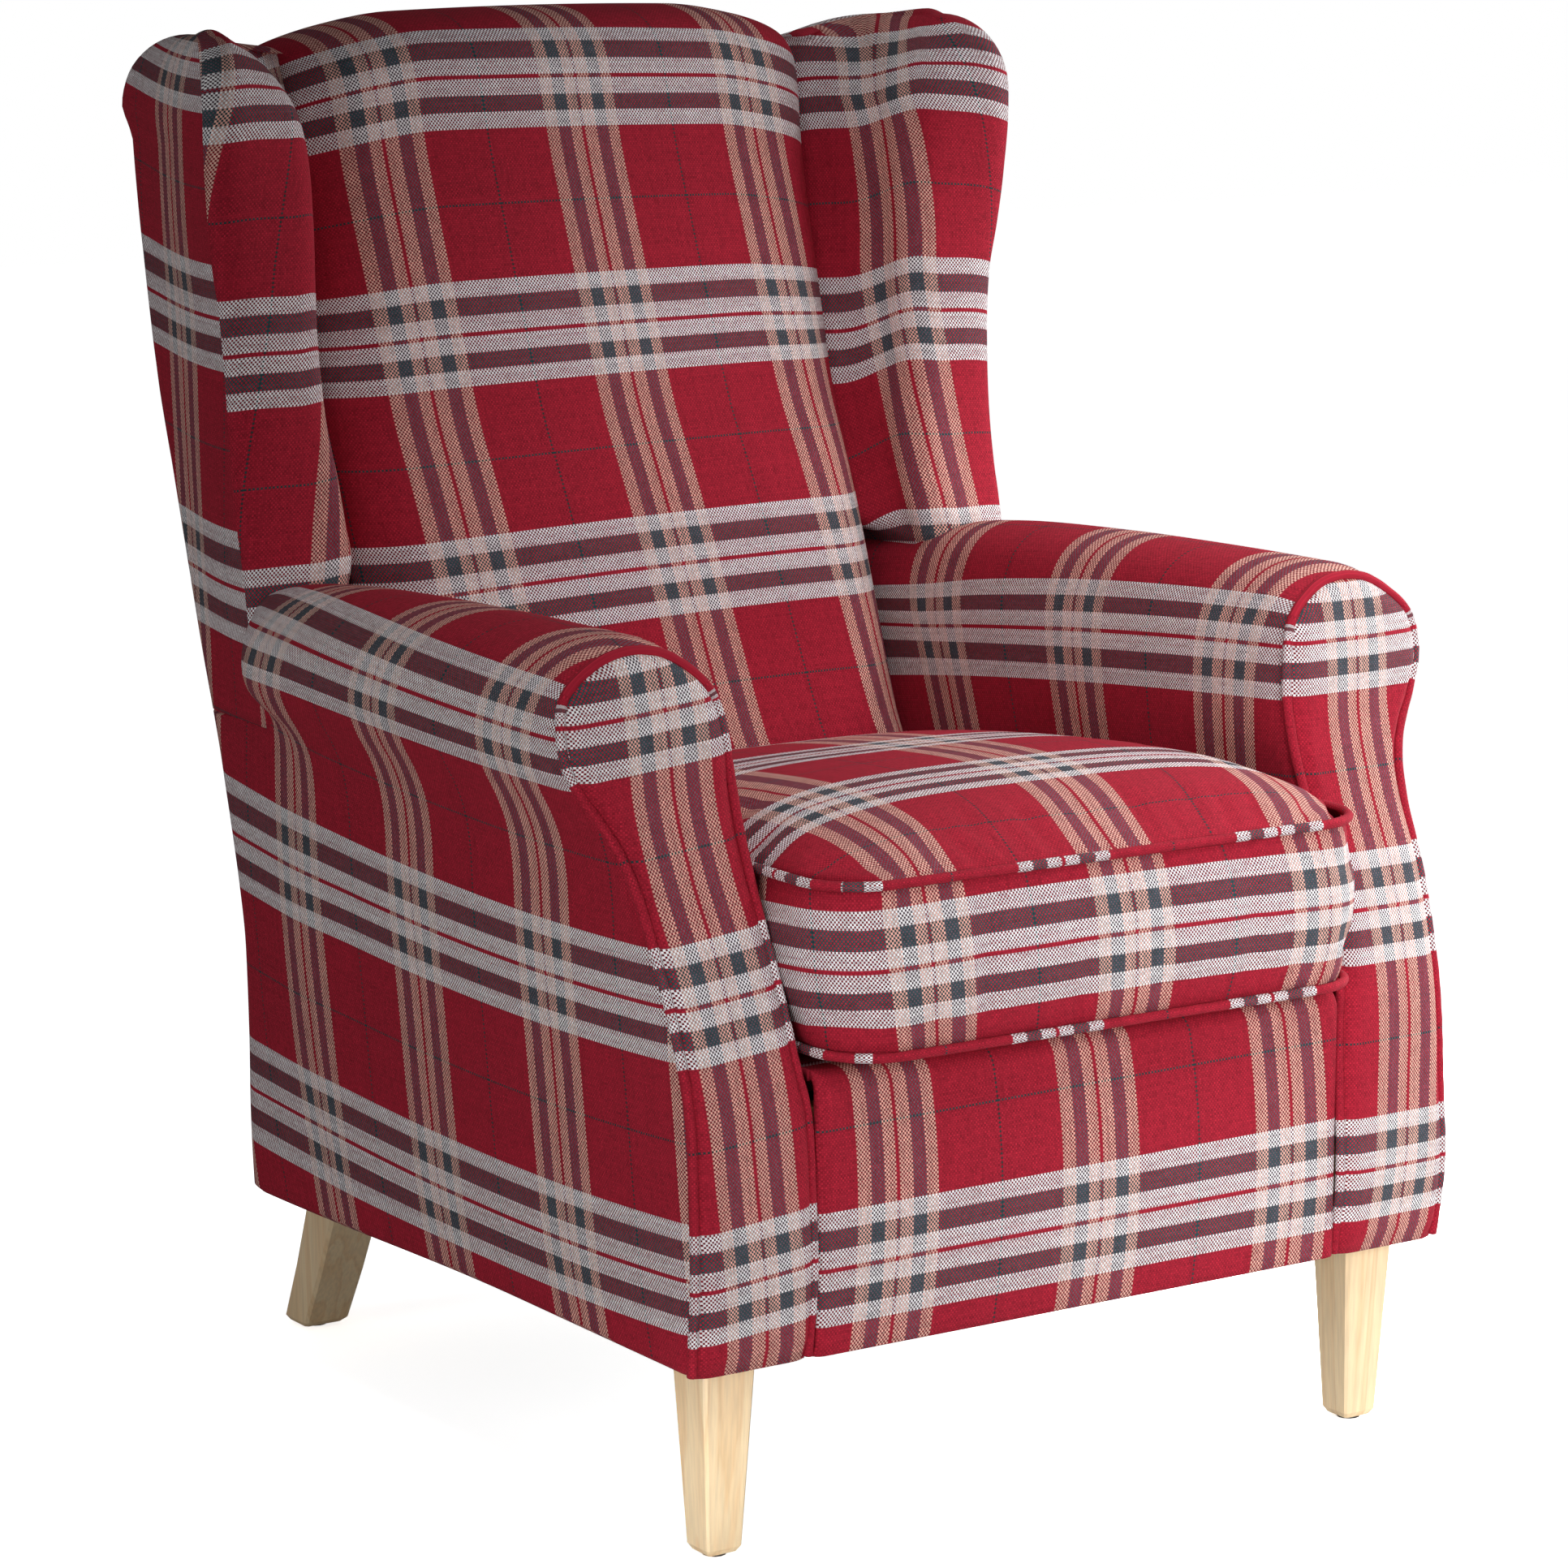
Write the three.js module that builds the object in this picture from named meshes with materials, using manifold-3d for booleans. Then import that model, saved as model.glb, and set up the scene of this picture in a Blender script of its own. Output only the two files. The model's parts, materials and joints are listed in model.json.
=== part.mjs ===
// Wing armchair with scroll arms, a loose box seat cushion and four beech legs.
// Millimetres, +Z up, front towards -Y, symmetric about x = 0, standing on z = 0.
import * as THREE from 'three';
import { mergeVertices } from 'three/addons/utils/BufferGeometryUtils.js';
import Module from 'manifold-3d';

const wasm = await Module();
wasm.setup();

// Clearances
const gap = 0.3;
const pocketGap = 0.4;
const overrun = 60;

// Facets of round sections
const rodSides = 12;
const pipingSides = 6;
const wireSides = 5;

// Widths: the arms stand at the sides of the seat and their rolls overhang the sides
const armInner = 236;
const armWidth = 144;
const armSideShare = 0.757;
const armFootShare = 0.71;
const sideHalfWidth = armInner + armSideShare * armWidth;

// Upholstered base
const baseBottom = 146;
const frameBottom = 150;
const deckTop = 353.7;
const deckThickness = 22.5;
const rearCornerRadius = 45;
const rearCornerShares = [0, 0.2, 0.4, 0.6, 0.8, 1];
const boardThickness = 18;
const skinThickness = 16;

// Back: the rear line rises from the base and rakes backwards
const baseRear = 284;
const backTop = 1059;
const backRake = 183;
const backHeight = backTop - baseBottom;
const rearShares = [
  [0, 0], [0.21, 0.044], [0.356, 0.165], [0.472, 0.355], [0.596, 0.55],
  [0.69, 0.7], [0.768, 0.785], [0.837, 0.85], [1, 0.96],
];
const rearPanelThickness = 12;
const rearPanelDrop = 115;
const rearPanelTop = backTop - rearPanelDrop;

// Inside back pad: its front line is raked too, and its edges draw back
const padOverlap = 4;
const padHalfWidth = armInner + padOverlap;
const padFootY = 130;
const padRake = 170;
const padHeight = backTop - deckTop - gap;
const padShares = [
  [0, 0], [0.12, 0], [0.19, 0.118], [0.386, 0.4], [0.47, 0.53], [0.553, 0.665],
  [0.668, 0.776], [0.752, 0.853], [0.857, 0.94], [0.94, 0.976],
];
const padEdgeDraw = 42;
const padTopDrop = 24;
const padRearRoll = 14;
const padFrontTopShare = 0.94;
const padDrawPower = 4;
const padDropPower = 5;
const padRollShares = [[0.12, 0.55], [0.27, 0.85], [0.45, 1], [0.64, 0.96], [0.82, 0.72], [0.95, 0.3]];
const padStationShares = [0, 0.3, 0.6, 0.82, 0.93, 0.985, 1];

// Arms
const armTop = 653;
const armHeight = armTop - baseBottom;
const armOutlineShares = [
  [armFootShare, 0], [0.72, 0.107], [0.712, 0.233], [0.71, 0.363], [0.722, 0.464], [0.742, 0.56],
  [0.764, 0.659], [0.797, 0.714], [0.855, 0.757], [0.93, 0.797], [0.985, 0.84], [1, 0.885],
  [0.975, 0.93], [0.89, 0.968], [0.75, 0.992], [0.57, 1], [0.385, 0.99], [0.24, 0.962],
  [0.142, 0.915], [0.098, 0.856], [0.083, 0.777], [0.083, 0.678], [0.08, 0.58], [0.06, 0.47],
  [0.042, 0.41], [0.012, 0.365], [0, 0.3], [0, 0.2], [0, 0.1], [0, 0],
];
const armOutlineSteps = 52;
const armFrontY = -412;
const armRake = 109;
const armFrontShares = [
  [0, 0.064], [0.136, 0], [0.29, 0.055], [0.464, 0.193], [0.56, 0.33],
  [0.675, 0.57], [0.753, 0.716], [0.907, 0.894], [1, 1],
];
const armInnerWallBottom = 340;
const facingThickness = 12;
const facingInset = 8.9;
const armPipingRadius = 3.8;
const armPipingSetback = 7.8;
const armPipingSteps = 60;
const stumpThickness = 25;
const armRailBottom = 560;
const armRailTop = 600;
const armRailInnerShare = 0.132;
const armRailInner = armInner + skinThickness + armRailInnerShare * armWidth;
const padSideLap = 20;

// Wings
const wingBottom = 520;
const wingTopDrop = 12;
const wingTop = backTop - wingTopDrop;
const wingThickness = 61;
const wingRearInset = 1;
const wingOuterRearX = sideHalfWidth - wingRearInset;
const wingInnerX = wingOuterRearX - wingThickness;
const padWingGap = 1;
const wingInnerRearX = padHalfWidth + padWingGap;
const wingFrontShares = [
  [0, 0.828], [0.076, 0.846], [0.178, 0.877], [0.252, 0.912], [0.288, 0.934], [0.376, 0.969],
  [0.459, 0.987], [0.588, 1], [0.755, 0.982], [0.854, 0.974], [1, 0.974],
];
const wingFrontY = 227;
const wingOuterShares = [
  [0, 0.936], [0.178, 0.965], [0.376, 0.965], [0.5, 0.967],
  [0.6, 0.976], [0.67, 0.988], [0.755, 0.997], [1, 1],
];
const wingFlare = 26;
const wingOuterX = sideHalfWidth + wingFlare;
const wingRoundHeight = 62;
const wingFrontRound = 60;
const wingSideRound = 26;
const wingInnerRound = 8;
const wingRearRound = 42;
const wingBorderRadius = 26;
const wingRoundShares = [0, 0.25, 0.5, 0.7, 0.85, 0.95, 1];
const wingBorderLimitShare = 0.45;
const wingBorderArcShares = [[0, 1], [0.3, 0.3], [1, 0]];
const wingRearLimitShare = 0.6;
const wingRearArcShares = [[0, 1], [0.12, 0.5], [0.42, 0.15], [1, 0]];
const wingBoardThickness = 15;
const wingBoardMargin = 30;
const wingBoardTopMargin = 47;
const wingBoardBottom = 440;
const wingBoardTop = wingTop - wingBoardTopMargin;
const wingBoardCorner = 70;

// Side rails stand against the skin of the arms, and the posts against the side rails
const sideRailClear = 0.7;
const sideRailOuter = armInner + armFootShare * armWidth - skinThickness - sideRailClear;

// Frame members of the back
const postWidth = 28;
const postInner = sideRailOuter - boardThickness - gap - postWidth;
const postDepth = 50;
const armRailOuter = postInner + postWidth - gap;
const postSetback = 13;
const postTopDrop = 44;
const postTop = backTop - postTopDrop;
const topRailDrop = 47;
const topRailHeight = 40;
const topRailTop = backTop - topRailDrop;
const topRailBottom = topRailTop - topRailHeight;
const lowerRailBottom = 395;
const lowerRailTop = 445;
const backRailDepth = 40;
const strapHeight = 50;
const strapThickness = 1.7;
const strapDrop = 5;
const strapShares = [0.175, 0.54];
const strapCentres = [
  armRailBottom - strapDrop - strapHeight / 2,
  ...strapShares.map((share) => armRailTop + share * (topRailBottom - armRailTop)),
];
const strapEndSetback = 3.2;
const strapReach = postInner + postWidth - strapEndSetback;
const padStandoff = 2.4;

// Seat rails, blocks and springs
const railTop = 326.5;
const frontRailFront = -387.8;
const rearRailFront = 252;
const sideRailFront = -362;
const sideRailRear = 268;
const blockTop = 195;
const frontBlockFront = -366.8;
const frontBlockReach = 98;
const rearBlockReach = 90;
const blockNose = 34;
const springWireRadius = 1.9;
const springPlaces = [-165, -55, 55, 165];
const springSwing = 19;
const springPitch = 64;
const springFront = -380;
const springRear = 262;

// Apron
const apronThickness = 9;
const apronFront = -399;
const apronEdgeRadius = 14;
const apronArcShares = [0, 0.34, 0.67, 1];
const apronLip = 20;

// Legs
const glideHeight = 2.7;
const glideRadius = 9;
const legCornerShare = 0.12;
const legFootEaseShare = 0.17;
const legSweepPower = 1.25;
const frontLegInset = 54;
const frontLegX = sideHalfWidth - frontLegInset;
const frontLegY = -350;
const frontLegFoot = 29;
const frontLegTop = 45;
const rearLegInset = 91;
const rearLegX = sideHalfWidth - rearLegInset;
const rearLegY = 247;
const rearLegFoot = 40;
const rearLegTop = 46;
const rearLegFootDepth = 36;
const rearLegTopDepth = 48;
const rearLegSweep = 62;
const frontLeg = {
  x: frontLegX,
  y: frontLegY,
  foot: frontLegFoot,
  top: frontLegTop,
  depthFoot: frontLegFoot,
  depthTop: frontLegTop,
  sweep: 0,
};
const rearLeg = {
  x: rearLegX,
  y: rearLegY,
  foot: rearLegFoot,
  top: rearLegTop,
  depthFoot: rearLegFootDepth,
  depthTop: rearLegTopDepth,
  sweep: rearLegSweep,
};
const legLevelShares = [0, 0.03, 0.35, 0.7, 1];
const legClear = 1;
const boltRadius = 4;
const boltBottom = 108;

// Seat cushion
const cushionBottom = 354;
const bottomSeamZ = 367;
const topSeamZ = 486;
const crownTop = 528;
const cushionFront = -431;
const cushionRear = 119;
const cushionSideClear = 7;
const cushionHalfWidth = armInner - cushionSideClear;
const boxingBulge = 7;
const topSeamSpread = 7;
const topSeamSetback = 7;
const pipingStandoff = 0.5;
const frontCornerRadius = 48;
const rearCornerRound = 26;
const cushionPipingRadius = 3.6;
const cushionCornerSteps = 5;
const cushionPipingSteps = 112;
const lowerCrownShares = [[0.55, 0], [0.8, 0.1], [0.94, 0.45], [0.985, 0.8]];
const boxingShares = [[0, 0], [0.15, 0.62], [0.35, 0.95], [0.6, 1], [0.82, 0.65], [1, 0]];
const rearBulgeShare = 0.75;
const sideStepShares = [0.25, 0.5, 0.75];
const upperCrownShares = [
  [0.985, 0.14], [0.95, 0.34], [0.88, 0.56], [0.76, 0.76], [0.58, 0.9], [0.35, 0.98], [0.14, 1],
];

// Looks
const clothLook = { color: 0x9c1426, roughness: 0.95, metalness: 0 };
const pipingLook = { color: 0x7d0f1f, roughness: 0.95, metalness: 0 };
const beechLook = { color: 0xe8c48a, roughness: 0.5, metalness: 0 };
const timberLook = { color: 0xcaa873, roughness: 0.8, metalness: 0 };
const foamLook = { color: 0xe9e2cc, roughness: 0.95, metalness: 0 };
const webLook = { color: 0x2c2a2a, roughness: 0.95, metalness: 0 };
const steelLook = { color: 0x8d9196, roughness: 0.4, metalness: 0.9 };
const plasticLook = { color: 0x3a3530, roughness: 0.6, metalness: 0 };

const group = new THREE.Group();

// Value of a table of shares at a share, straight between its rows
function tableAt(table, share) {
  for (let row = 1; row < table.length; row += 1) {
    const [from, low] = table[row - 1];
    const [to, high] = table[row];
    if (share <= to || row === table.length - 1) {
      return low + (high - low) * (share - from) / (to - from);
    }
  }
  return table[0][1];
}

function rearY(z) {
  return baseRear + backRake * tableAt(rearShares, Math.max(0, (z - baseBottom) / backHeight));
}

function padFrontY(z) {
  return padFootY + padRake * tableAt(padShares, Math.max(0, (z - deckTop) / padHeight));
}

function armFront(z) {
  return armFrontY + armRake * tableAt(armFrontShares, (z - baseBottom) / armHeight);
}

function wingFront(z) {
  return wingFrontY * tableAt(wingFrontShares, (z - wingBottom) / (wingTop - wingBottom));
}

function wingOuter(z) {
  return wingOuterX * tableAt(wingOuterShares, (z - wingBottom) / (wingTop - wingBottom));
}

// Heights between two ends, with the rows of a table that lie between them
function levels(table, start, height, from, to) {
  const inside = table.map(([share]) => start + share * height).filter((z) => z > from && z < to);
  return [from, ...inside, to];
}

const rearLevels = (from, to) => levels(rearShares, baseBottom, backHeight, from, to);
const padLevels = (from, to) => levels(padShares, deckTop, padHeight, from, to);
const armLevels = (from, to) => levels(armFrontShares, baseBottom, armHeight, from, to);
const wingLevels = (from, to) => levels(wingFrontShares, wingBottom, wingTop - wingBottom, from, to);

// Closed mesh with its faces turned outwards
function outward(geometry) {
  const index = geometry.index.array;
  const place = geometry.attributes.position;
  const a = new THREE.Vector3();
  const b = new THREE.Vector3();
  const c = new THREE.Vector3();
  let volume = 0;
  for (let i = 0; i < index.length; i += 3) {
    a.fromBufferAttribute(place, index[i]);
    b.fromBufferAttribute(place, index[i + 1]);
    c.fromBufferAttribute(place, index[i + 2]);
    volume += a.dot(b.cross(c));
  }
  if (volume < 0) {
    for (let i = 0; i < index.length; i += 3) {
      [index[i], index[i + 1]] = [index[i + 1], index[i]];
    }
  }
  return geometry;
}

function welded(geometry) {
  geometry.deleteAttribute('normal');
  geometry.deleteAttribute('uv');
  return outward(mergeVertices(geometry));
}

function toSolid(geometry) {
  return new wasm.Manifold(new wasm.Mesh({
    numProp: 3,
    vertProperties: new Float32Array(geometry.attributes.position.array),
    triVerts: new Uint32Array(geometry.index.array),
  }));
}

function toGeometry(solid) {
  const mesh = solid.getMesh();
  const geometry = new THREE.BufferGeometry();
  geometry.setAttribute('position', new THREE.BufferAttribute(mesh.vertProperties, 3));
  geometry.setIndex(new THREE.BufferAttribute(mesh.triVerts, 1));
  return geometry;
}

function mirrored(geometry) {
  const copy = geometry.clone();
  const place = copy.attributes.position;
  for (let i = 0; i < place.count; i += 1) {
    place.setX(i, -place.getX(i));
  }
  return outward(copy);
}

// Straight extrusions of a polygon: along X of (y, z), along Y of (x, z), along Z of (x, y)
function prism(points, from, to, turn) {
  const shape = new THREE.Shape(points.map(([u, v]) => new THREE.Vector2(u, v)));
  const geometry = new THREE.ExtrudeGeometry(shape, { depth: to - from, bevelEnabled: false });
  geometry.translate(0, 0, from);
  geometry.applyMatrix4(turn);
  return toSolid(welded(geometry));
}

const axisX = new THREE.Vector3(1, 0, 0);
const axisY = new THREE.Vector3(0, 1, 0);
const axisZ = new THREE.Vector3(0, 0, 1);
const alongX = new THREE.Matrix4().makeBasis(axisY, axisZ, axisX);
const alongY = new THREE.Matrix4().makeBasis(axisX, axisZ, axisY);
const prismX = (points, from, to) => prism(points, from, to, alongX);
const prismY = (points, from, to) => prism(points, from, to, alongY);
const prismZ = (points, from, to) => prism(points, from, to, new THREE.Matrix4());

function box(x0, x1, y0, y1, z0, z1) {
  return prismZ([[x0, y0], [x1, y0], [x1, y1], [x0, y1]], z0, z1);
}

function rod(x, y, z0, z1, radius) {
  const geometry = new THREE.CylinderGeometry(radius, radius, z1 - z0, rodSides);
  geometry.rotateX(Math.PI / 2);
  geometry.translate(x, y, (z0 + z1) / 2);
  return toSolid(welded(geometry));
}

// Skin over a row of flat rings of equal point count, with flat ends
function loft(rings, flatten) {
  const count = rings[0].length;
  const places = rings.flat().flat();
  const index = [];
  for (let ring = 0; ring + 1 < rings.length; ring += 1) {
    for (let i = 0; i < count; i += 1) {
      const a = ring * count + i;
      const b = ring * count + (i + 1) % count;
      index.push(a, b, b + count, a, b + count, a + count);
    }
  }
  const first = rings[0].map((point) => new THREE.Vector2(...flatten(point)));
  const last = rings[rings.length - 1].map((point) => new THREE.Vector2(...flatten(point)));
  const lastStart = (rings.length - 1) * count;
  const turned = THREE.ShapeUtils.area(first) < 0;
  for (const [a, b, c] of THREE.ShapeUtils.triangulateShape(first, [])) {
    index.push(...(turned ? [a, b, c] : [a, c, b]));
  }
  for (const [a, b, c] of THREE.ShapeUtils.triangulateShape(last, [])) {
    index.push(...(turned
      ? [lastStart + a, lastStart + c, lastStart + b]
      : [lastStart + a, lastStart + b, lastStart + c]));
  }
  const geometry = new THREE.BufferGeometry();
  geometry.setAttribute('position', new THREE.Float32BufferAttribute(places, 3));
  geometry.setIndex(index);
  return outward(geometry);
}

const flatXY = ([x, y]) => [x, y];
const flatYZ = ([, y, z]) => [y, z];

function tube(points, radius, sides, steps) {
  const corner = (i) => new THREE.Vector2(
    radius * Math.cos(2 * Math.PI * i / sides),
    radius * Math.sin(2 * Math.PI * i / sides),
  );
  const section = new THREE.Shape(Array.from({ length: sides }, (_, i) => corner(i)));
  const path = new THREE.CatmullRomCurve3(points.map((point) => new THREE.Vector3(...point)));
  return welded(new THREE.ExtrudeGeometry(section, { steps, extrudePath: path, bevelEnabled: false }));
}

function addPiece(name, geometry, look) {
  const mesh = new THREE.Mesh(geometry, new THREE.MeshStandardMaterial({ ...look }));
  mesh.name = name;
  group.add(mesh);
}

// The right-hand piece lies at +X, its twin is mirrored
function addPair(name, geometry, look) {
  addPiece(`${name}_right`, geometry, look);
  addPiece(`${name}_left`, mirrored(geometry), look);
}

// Scroll outline of the arm in the front view, from the outer foot over the roll to the inner foot
function armOutline(inset) {
  const points = armOutlineShares.map(([across, up]) => new THREE.Vector3(
    armInner + across * armWidth,
    0,
    baseBottom + up * armHeight,
  ));
  const smooth = new THREE.CatmullRomCurve3(points, false, 'centripetal').getPoints(armOutlineSteps);
  return smooth.map((point, i) => {
    const before = smooth[Math.max(0, i - 1)];
    const after = smooth[Math.min(smooth.length - 1, i + 1)];
    const run = new THREE.Vector3().subVectors(after, before).normalize();
    return [point.x - run.z * inset, point.z + run.x * inset];
  });
}

// Slab that follows the raked arm front, between two setbacks
function armFrontSlab(near, far) {
  const heights = armLevels(baseBottom - overrun, armTop + overrun);
  const front = heights.map((z) => [armFront(z) + near, z]);
  const back = heights.map((z) => [armFront(z) + far, z]).reverse();
  return prismX([...front, ...back], 0, sideHalfWidth + overrun);
}

function footOf(outline, z) {
  const [outerX] = outline[0];
  const [innerX] = outline[outline.length - 1];
  const above = outline.filter(([, height]) => height > z + gap);
  return [[outerX, z], ...above, [innerX, z]];
}

function makeArms() {
  const yRange = [armFrontY - overrun, baseRear + backRake];
  const rearSetback = rearPanelThickness + gap;
  const bodyFront = facingThickness + gap;
  const heights = armLevels(baseBottom - overrun, armTop + overrun);
  const rearHeights = rearLevels(baseBottom - overrun, armTop + overrun).reverse();
  const side = [
    ...heights.map((z) => [armFront(z) + bodyFront, z]),
    ...rearHeights.map((z) => [rearY(z) - rearSetback, z]),
  ];
  const envelope = prismX(side, 0, sideHalfWidth + overrun);
  const outer = prismY(footOf(armOutline(0), baseBottom), ...yRange);
  const hollow = prismY(footOf(armOutline(skinThickness), baseBottom - overrun), ...yRange);
  const underDeck = box(0, armInner + overrun, ...yRange, baseBottom - overrun, armInnerWallBottom);

  const wingHeights = wingLevels(wingBottom, armTop + overrun);
  const wingCut = prismX([
    ...wingHeights.map((z) => [wingFront(z) - gap, z]),
    [yRange[1], armTop + overrun],
    [yRange[1], wingBottom],
  ], wingInnerX, sideHalfWidth + overrun);
  const padHeights = padLevels(deckTop, armTop + overrun);
  const lap = padEdgeDraw + padSideLap;
  const padCut = prismX([
    [padFrontY(deckTop) + lap, baseBottom],
    ...padHeights.map((z) => [padFrontY(z) + lap, z]),
    [yRange[1], armTop + overrun],
    [yRange[1], baseBottom],
  ], 0, wingInnerX);

  const cover = outer.intersect(envelope).subtract(hollow).subtract(underDeck)
    .subtract(wingCut).subtract(padCut).subtract(cornerCutter());
  addPair('arm_cover', toGeometry(cover), clothLook);

  const facing = prismY(footOf(armOutline(facingInset), baseBottom), ...yRange)
    .intersect(armFrontSlab(0, facingThickness));
  addPair('arm_facing', toGeometry(facing), clothLook);

  const stumpFront = bodyFront + gap;
  const stump = prismY(footOf(armOutline(skinThickness + pocketGap), frameBottom), ...yRange)
    .intersect(armFrontSlab(stumpFront, stumpFront + stumpThickness));
  addPair('arm_stump', toGeometry(stump), timberLook);

  const pipingLine = footOf(armOutline(armPipingRadius + gap), baseBottom)
    .map(([x, z]) => [x, armFront(z) + armPipingSetback, z]);
  addPair('arm_piping', tube(pipingLine, armPipingRadius, pipingSides, armPipingSteps), pipingLook);

  addPair('arm_rail', toGeometry(armRail(0)), timberLook);
}

// Rail under the arm roll, from the stump board to the back post
function armRail(clear) {
  const start = facingThickness + 2 * gap + stumpThickness + gap - clear;
  const z0 = armRailBottom - clear;
  const z1 = armRailTop + clear;
  const rearSetback = postSetback + postDepth + gap - clear;
  return prismX([
    ...armLevels(z0, z1).map((z) => [armFront(z) + start, z]),
    ...rearLevels(z0, z1).reverse().map((z) => [rearY(z) - rearSetback, z]),
  ], armRailInner - clear, armRailOuter + clear);
}

// What the rounded rear corner takes away from the square side
function cornerCutter() {
  const turns = rearCornerShares.map((share) => share * Math.PI / 2);
  const centreX = sideHalfWidth - rearCornerRadius;
  const ring = (z) => {
    const y = rearY(z);
    const arc = turns.map((angle) => [
      centreX + rearCornerRadius * Math.sin(angle),
      y - rearCornerRadius + rearCornerRadius * Math.cos(angle),
      z,
    ]);
    return [
      ...arc,
      [sideHalfWidth + overrun, y - rearCornerRadius, z],
      [sideHalfWidth + overrun, y + overrun, z],
      [centreX, y + overrun, z],
    ];
  };
  const rings = rearLevels(baseBottom - overrun, backTop).map(ring);
  return toSolid(loft(rings, flatXY));
}

// Level outline of a wing, drawn in near its rounded top
function wingRing(z, lower) {
  const rise = Math.max(0, (z - (wingTop - wingRoundHeight)) / wingRoundHeight);
  const rounding = 1 - Math.sqrt(Math.max(0, 1 - rise * rise));
  const front = wingFront(z) + wingFrontRound * rounding;
  const outer = wingOuter(z) - wingSideRound * rounding;
  const rearOut = wingOuterRearX - wingSideRound * rounding;
  const topRoll = z > rearPanelTop ? rearPanelThickness + gap + padRearRoll * (1 - rounding) : 0;
  const rear = rearY(z) - rearPanelThickness - gap + topRoll - wingRearRound * rounding;
  const edge = padFrontY(z) + padEdgeDraw;
  const shrink = wingSideRound * rounding;
  const inner = wingInnerX + shrink + (lower ? gap : 0);
  const innerRear = lower ? inner : wingInnerRearX + wingInnerRound * rounding;
  const radius = Math.min(wingBorderRadius, wingBorderLimitShare * (outer - inner));
  const corner = Math.min(rearCornerRadius, wingRearLimitShare * (rearOut - innerRear));
  const innerSide = lower
    ? [[inner, rear, z], [inner, (2 * rear + front) / 3, z], [inner, (rear + 2 * front) / 3, z]]
    : [
      [innerRear, rear, z],
      [innerRear, (rear + edge) / 2, z],
      [innerRear, Math.min(edge, rear - 2 * radius), z],
    ];
  const border = wingBorderArcShares.map(([aside, back]) => [aside * radius, front + back * radius]);
  return [
    ...innerSide,
    ...border.map(([aside, y]) => [inner + aside, y, z]),
    ...border.map(([aside, y]) => [outer - aside, y, z]).reverse(),
    [(2 * outer + rearOut) / 3, (2 * front + rear) / 3, z],
    ...wingRearArcShares.map(([aside, forward]) => [rearOut - aside * corner, rear - forward * corner, z]),
  ];
}

function wingBoard(clear) {
  const inner = postInner + postWidth + gap;
  const heights = wingLevels(wingBoardBottom - clear, wingBoardTop - wingBoardCorner);
  const rearHeights = rearLevels(wingBoardBottom - clear, wingBoardTop - wingBoardCorner).reverse();
  const cornerY = wingFront(wingBoardTop) + wingBoardMargin + wingBoardCorner;
  return prismX([
    ...heights.map((z) => [wingFront(Math.max(z, wingBottom)) + wingBoardMargin - clear, z]),
    [cornerY - clear, wingBoardTop + clear],
    [rearY(wingBoardTop) - wingBoardMargin, wingBoardTop + clear],
    ...rearHeights.map((z) => [rearY(z) - postSetback - gap + clear, z]),
  ], inner - clear, inner + wingBoardThickness + clear);
}

function backPost(clear, frontClear) {
  const heights = rearLevels(frameBottom - clear, postTop + clear);
  return prismX([
    ...heights.map((z) => [rearY(z) - postSetback - postDepth - frontClear, z]),
    ...heights.map((z) => [rearY(z) - postSetback + clear, z]).reverse(),
  ], postInner - clear, postInner + postWidth + clear);
}

// Rail between the posts, its front face in line with theirs
function backRail(bottom, top, clear) {
  const range = rearLevels(bottom - clear, top + clear);
  const front = postSetback + postDepth + clear;
  const rear = postSetback + postDepth - backRailDepth - clear;
  return prismX([
    ...range.map((z) => [rearY(z) - front, z]),
    ...range.map((z) => [rearY(z) - rear, z]).reverse(),
  ], gap - postInner, postInner - gap);
}

// Elastic strap across the fronts of the posts
function backStrap(centre, clear) {
  const range = rearLevels(centre - strapHeight / 2 - clear, centre + strapHeight / 2 + clear);
  const setback = postSetback + postDepth + gap - clear;
  return prismX([
    ...range.map((z) => [rearY(z) - setback - strapThickness - 2 * clear, z]),
    ...range.map((z) => [rearY(z) - setback, z]).reverse(),
  ], -strapReach - clear, strapReach + clear);
}

function makeWings() {
  const roundLevels = wingRoundShares.map((share) => wingTop - wingRoundHeight + share * wingRoundHeight);
  const upperLevels = [...new Set([
    ...wingLevels(armTop + gap, rearPanelTop),
    ...rearLevels(armTop + gap, rearPanelTop),
    ...padLevels(armTop + gap, rearPanelTop),
    rearPanelTop + gap,
    ...roundLevels,
  ])].sort((a, b) => a - b);
  const lowerLevels = [...new Set([
    ...wingLevels(wingBottom + gap, armTop + 2 * gap),
    ...rearLevels(wingBottom + gap, armTop + 2 * gap),
  ])].sort((a, b) => a - b);
  const upper = toSolid(loft(upperLevels.map((z) => wingRing(z, false)), flatXY));
  const lower = toSolid(loft(lowerLevels.map((z) => wingRing(z, true)), flatXY));
  const inside = [
    backPost(pocketGap, pocketGap),
    backRail(topRailBottom, topRailTop, pocketGap),
    wingBoard(pocketGap),
    armRail(pocketGap),
    ...strapCentres.map((centre) => backStrap(centre, pocketGap)),
  ];
  const wing = inside.reduce((body, member) => body.subtract(member), upper.add(lower));
  addPair('wing', toGeometry(wing), clothLook);
  addPair('wing_board', toGeometry(wingBoard(0)), timberLook);
}

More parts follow.
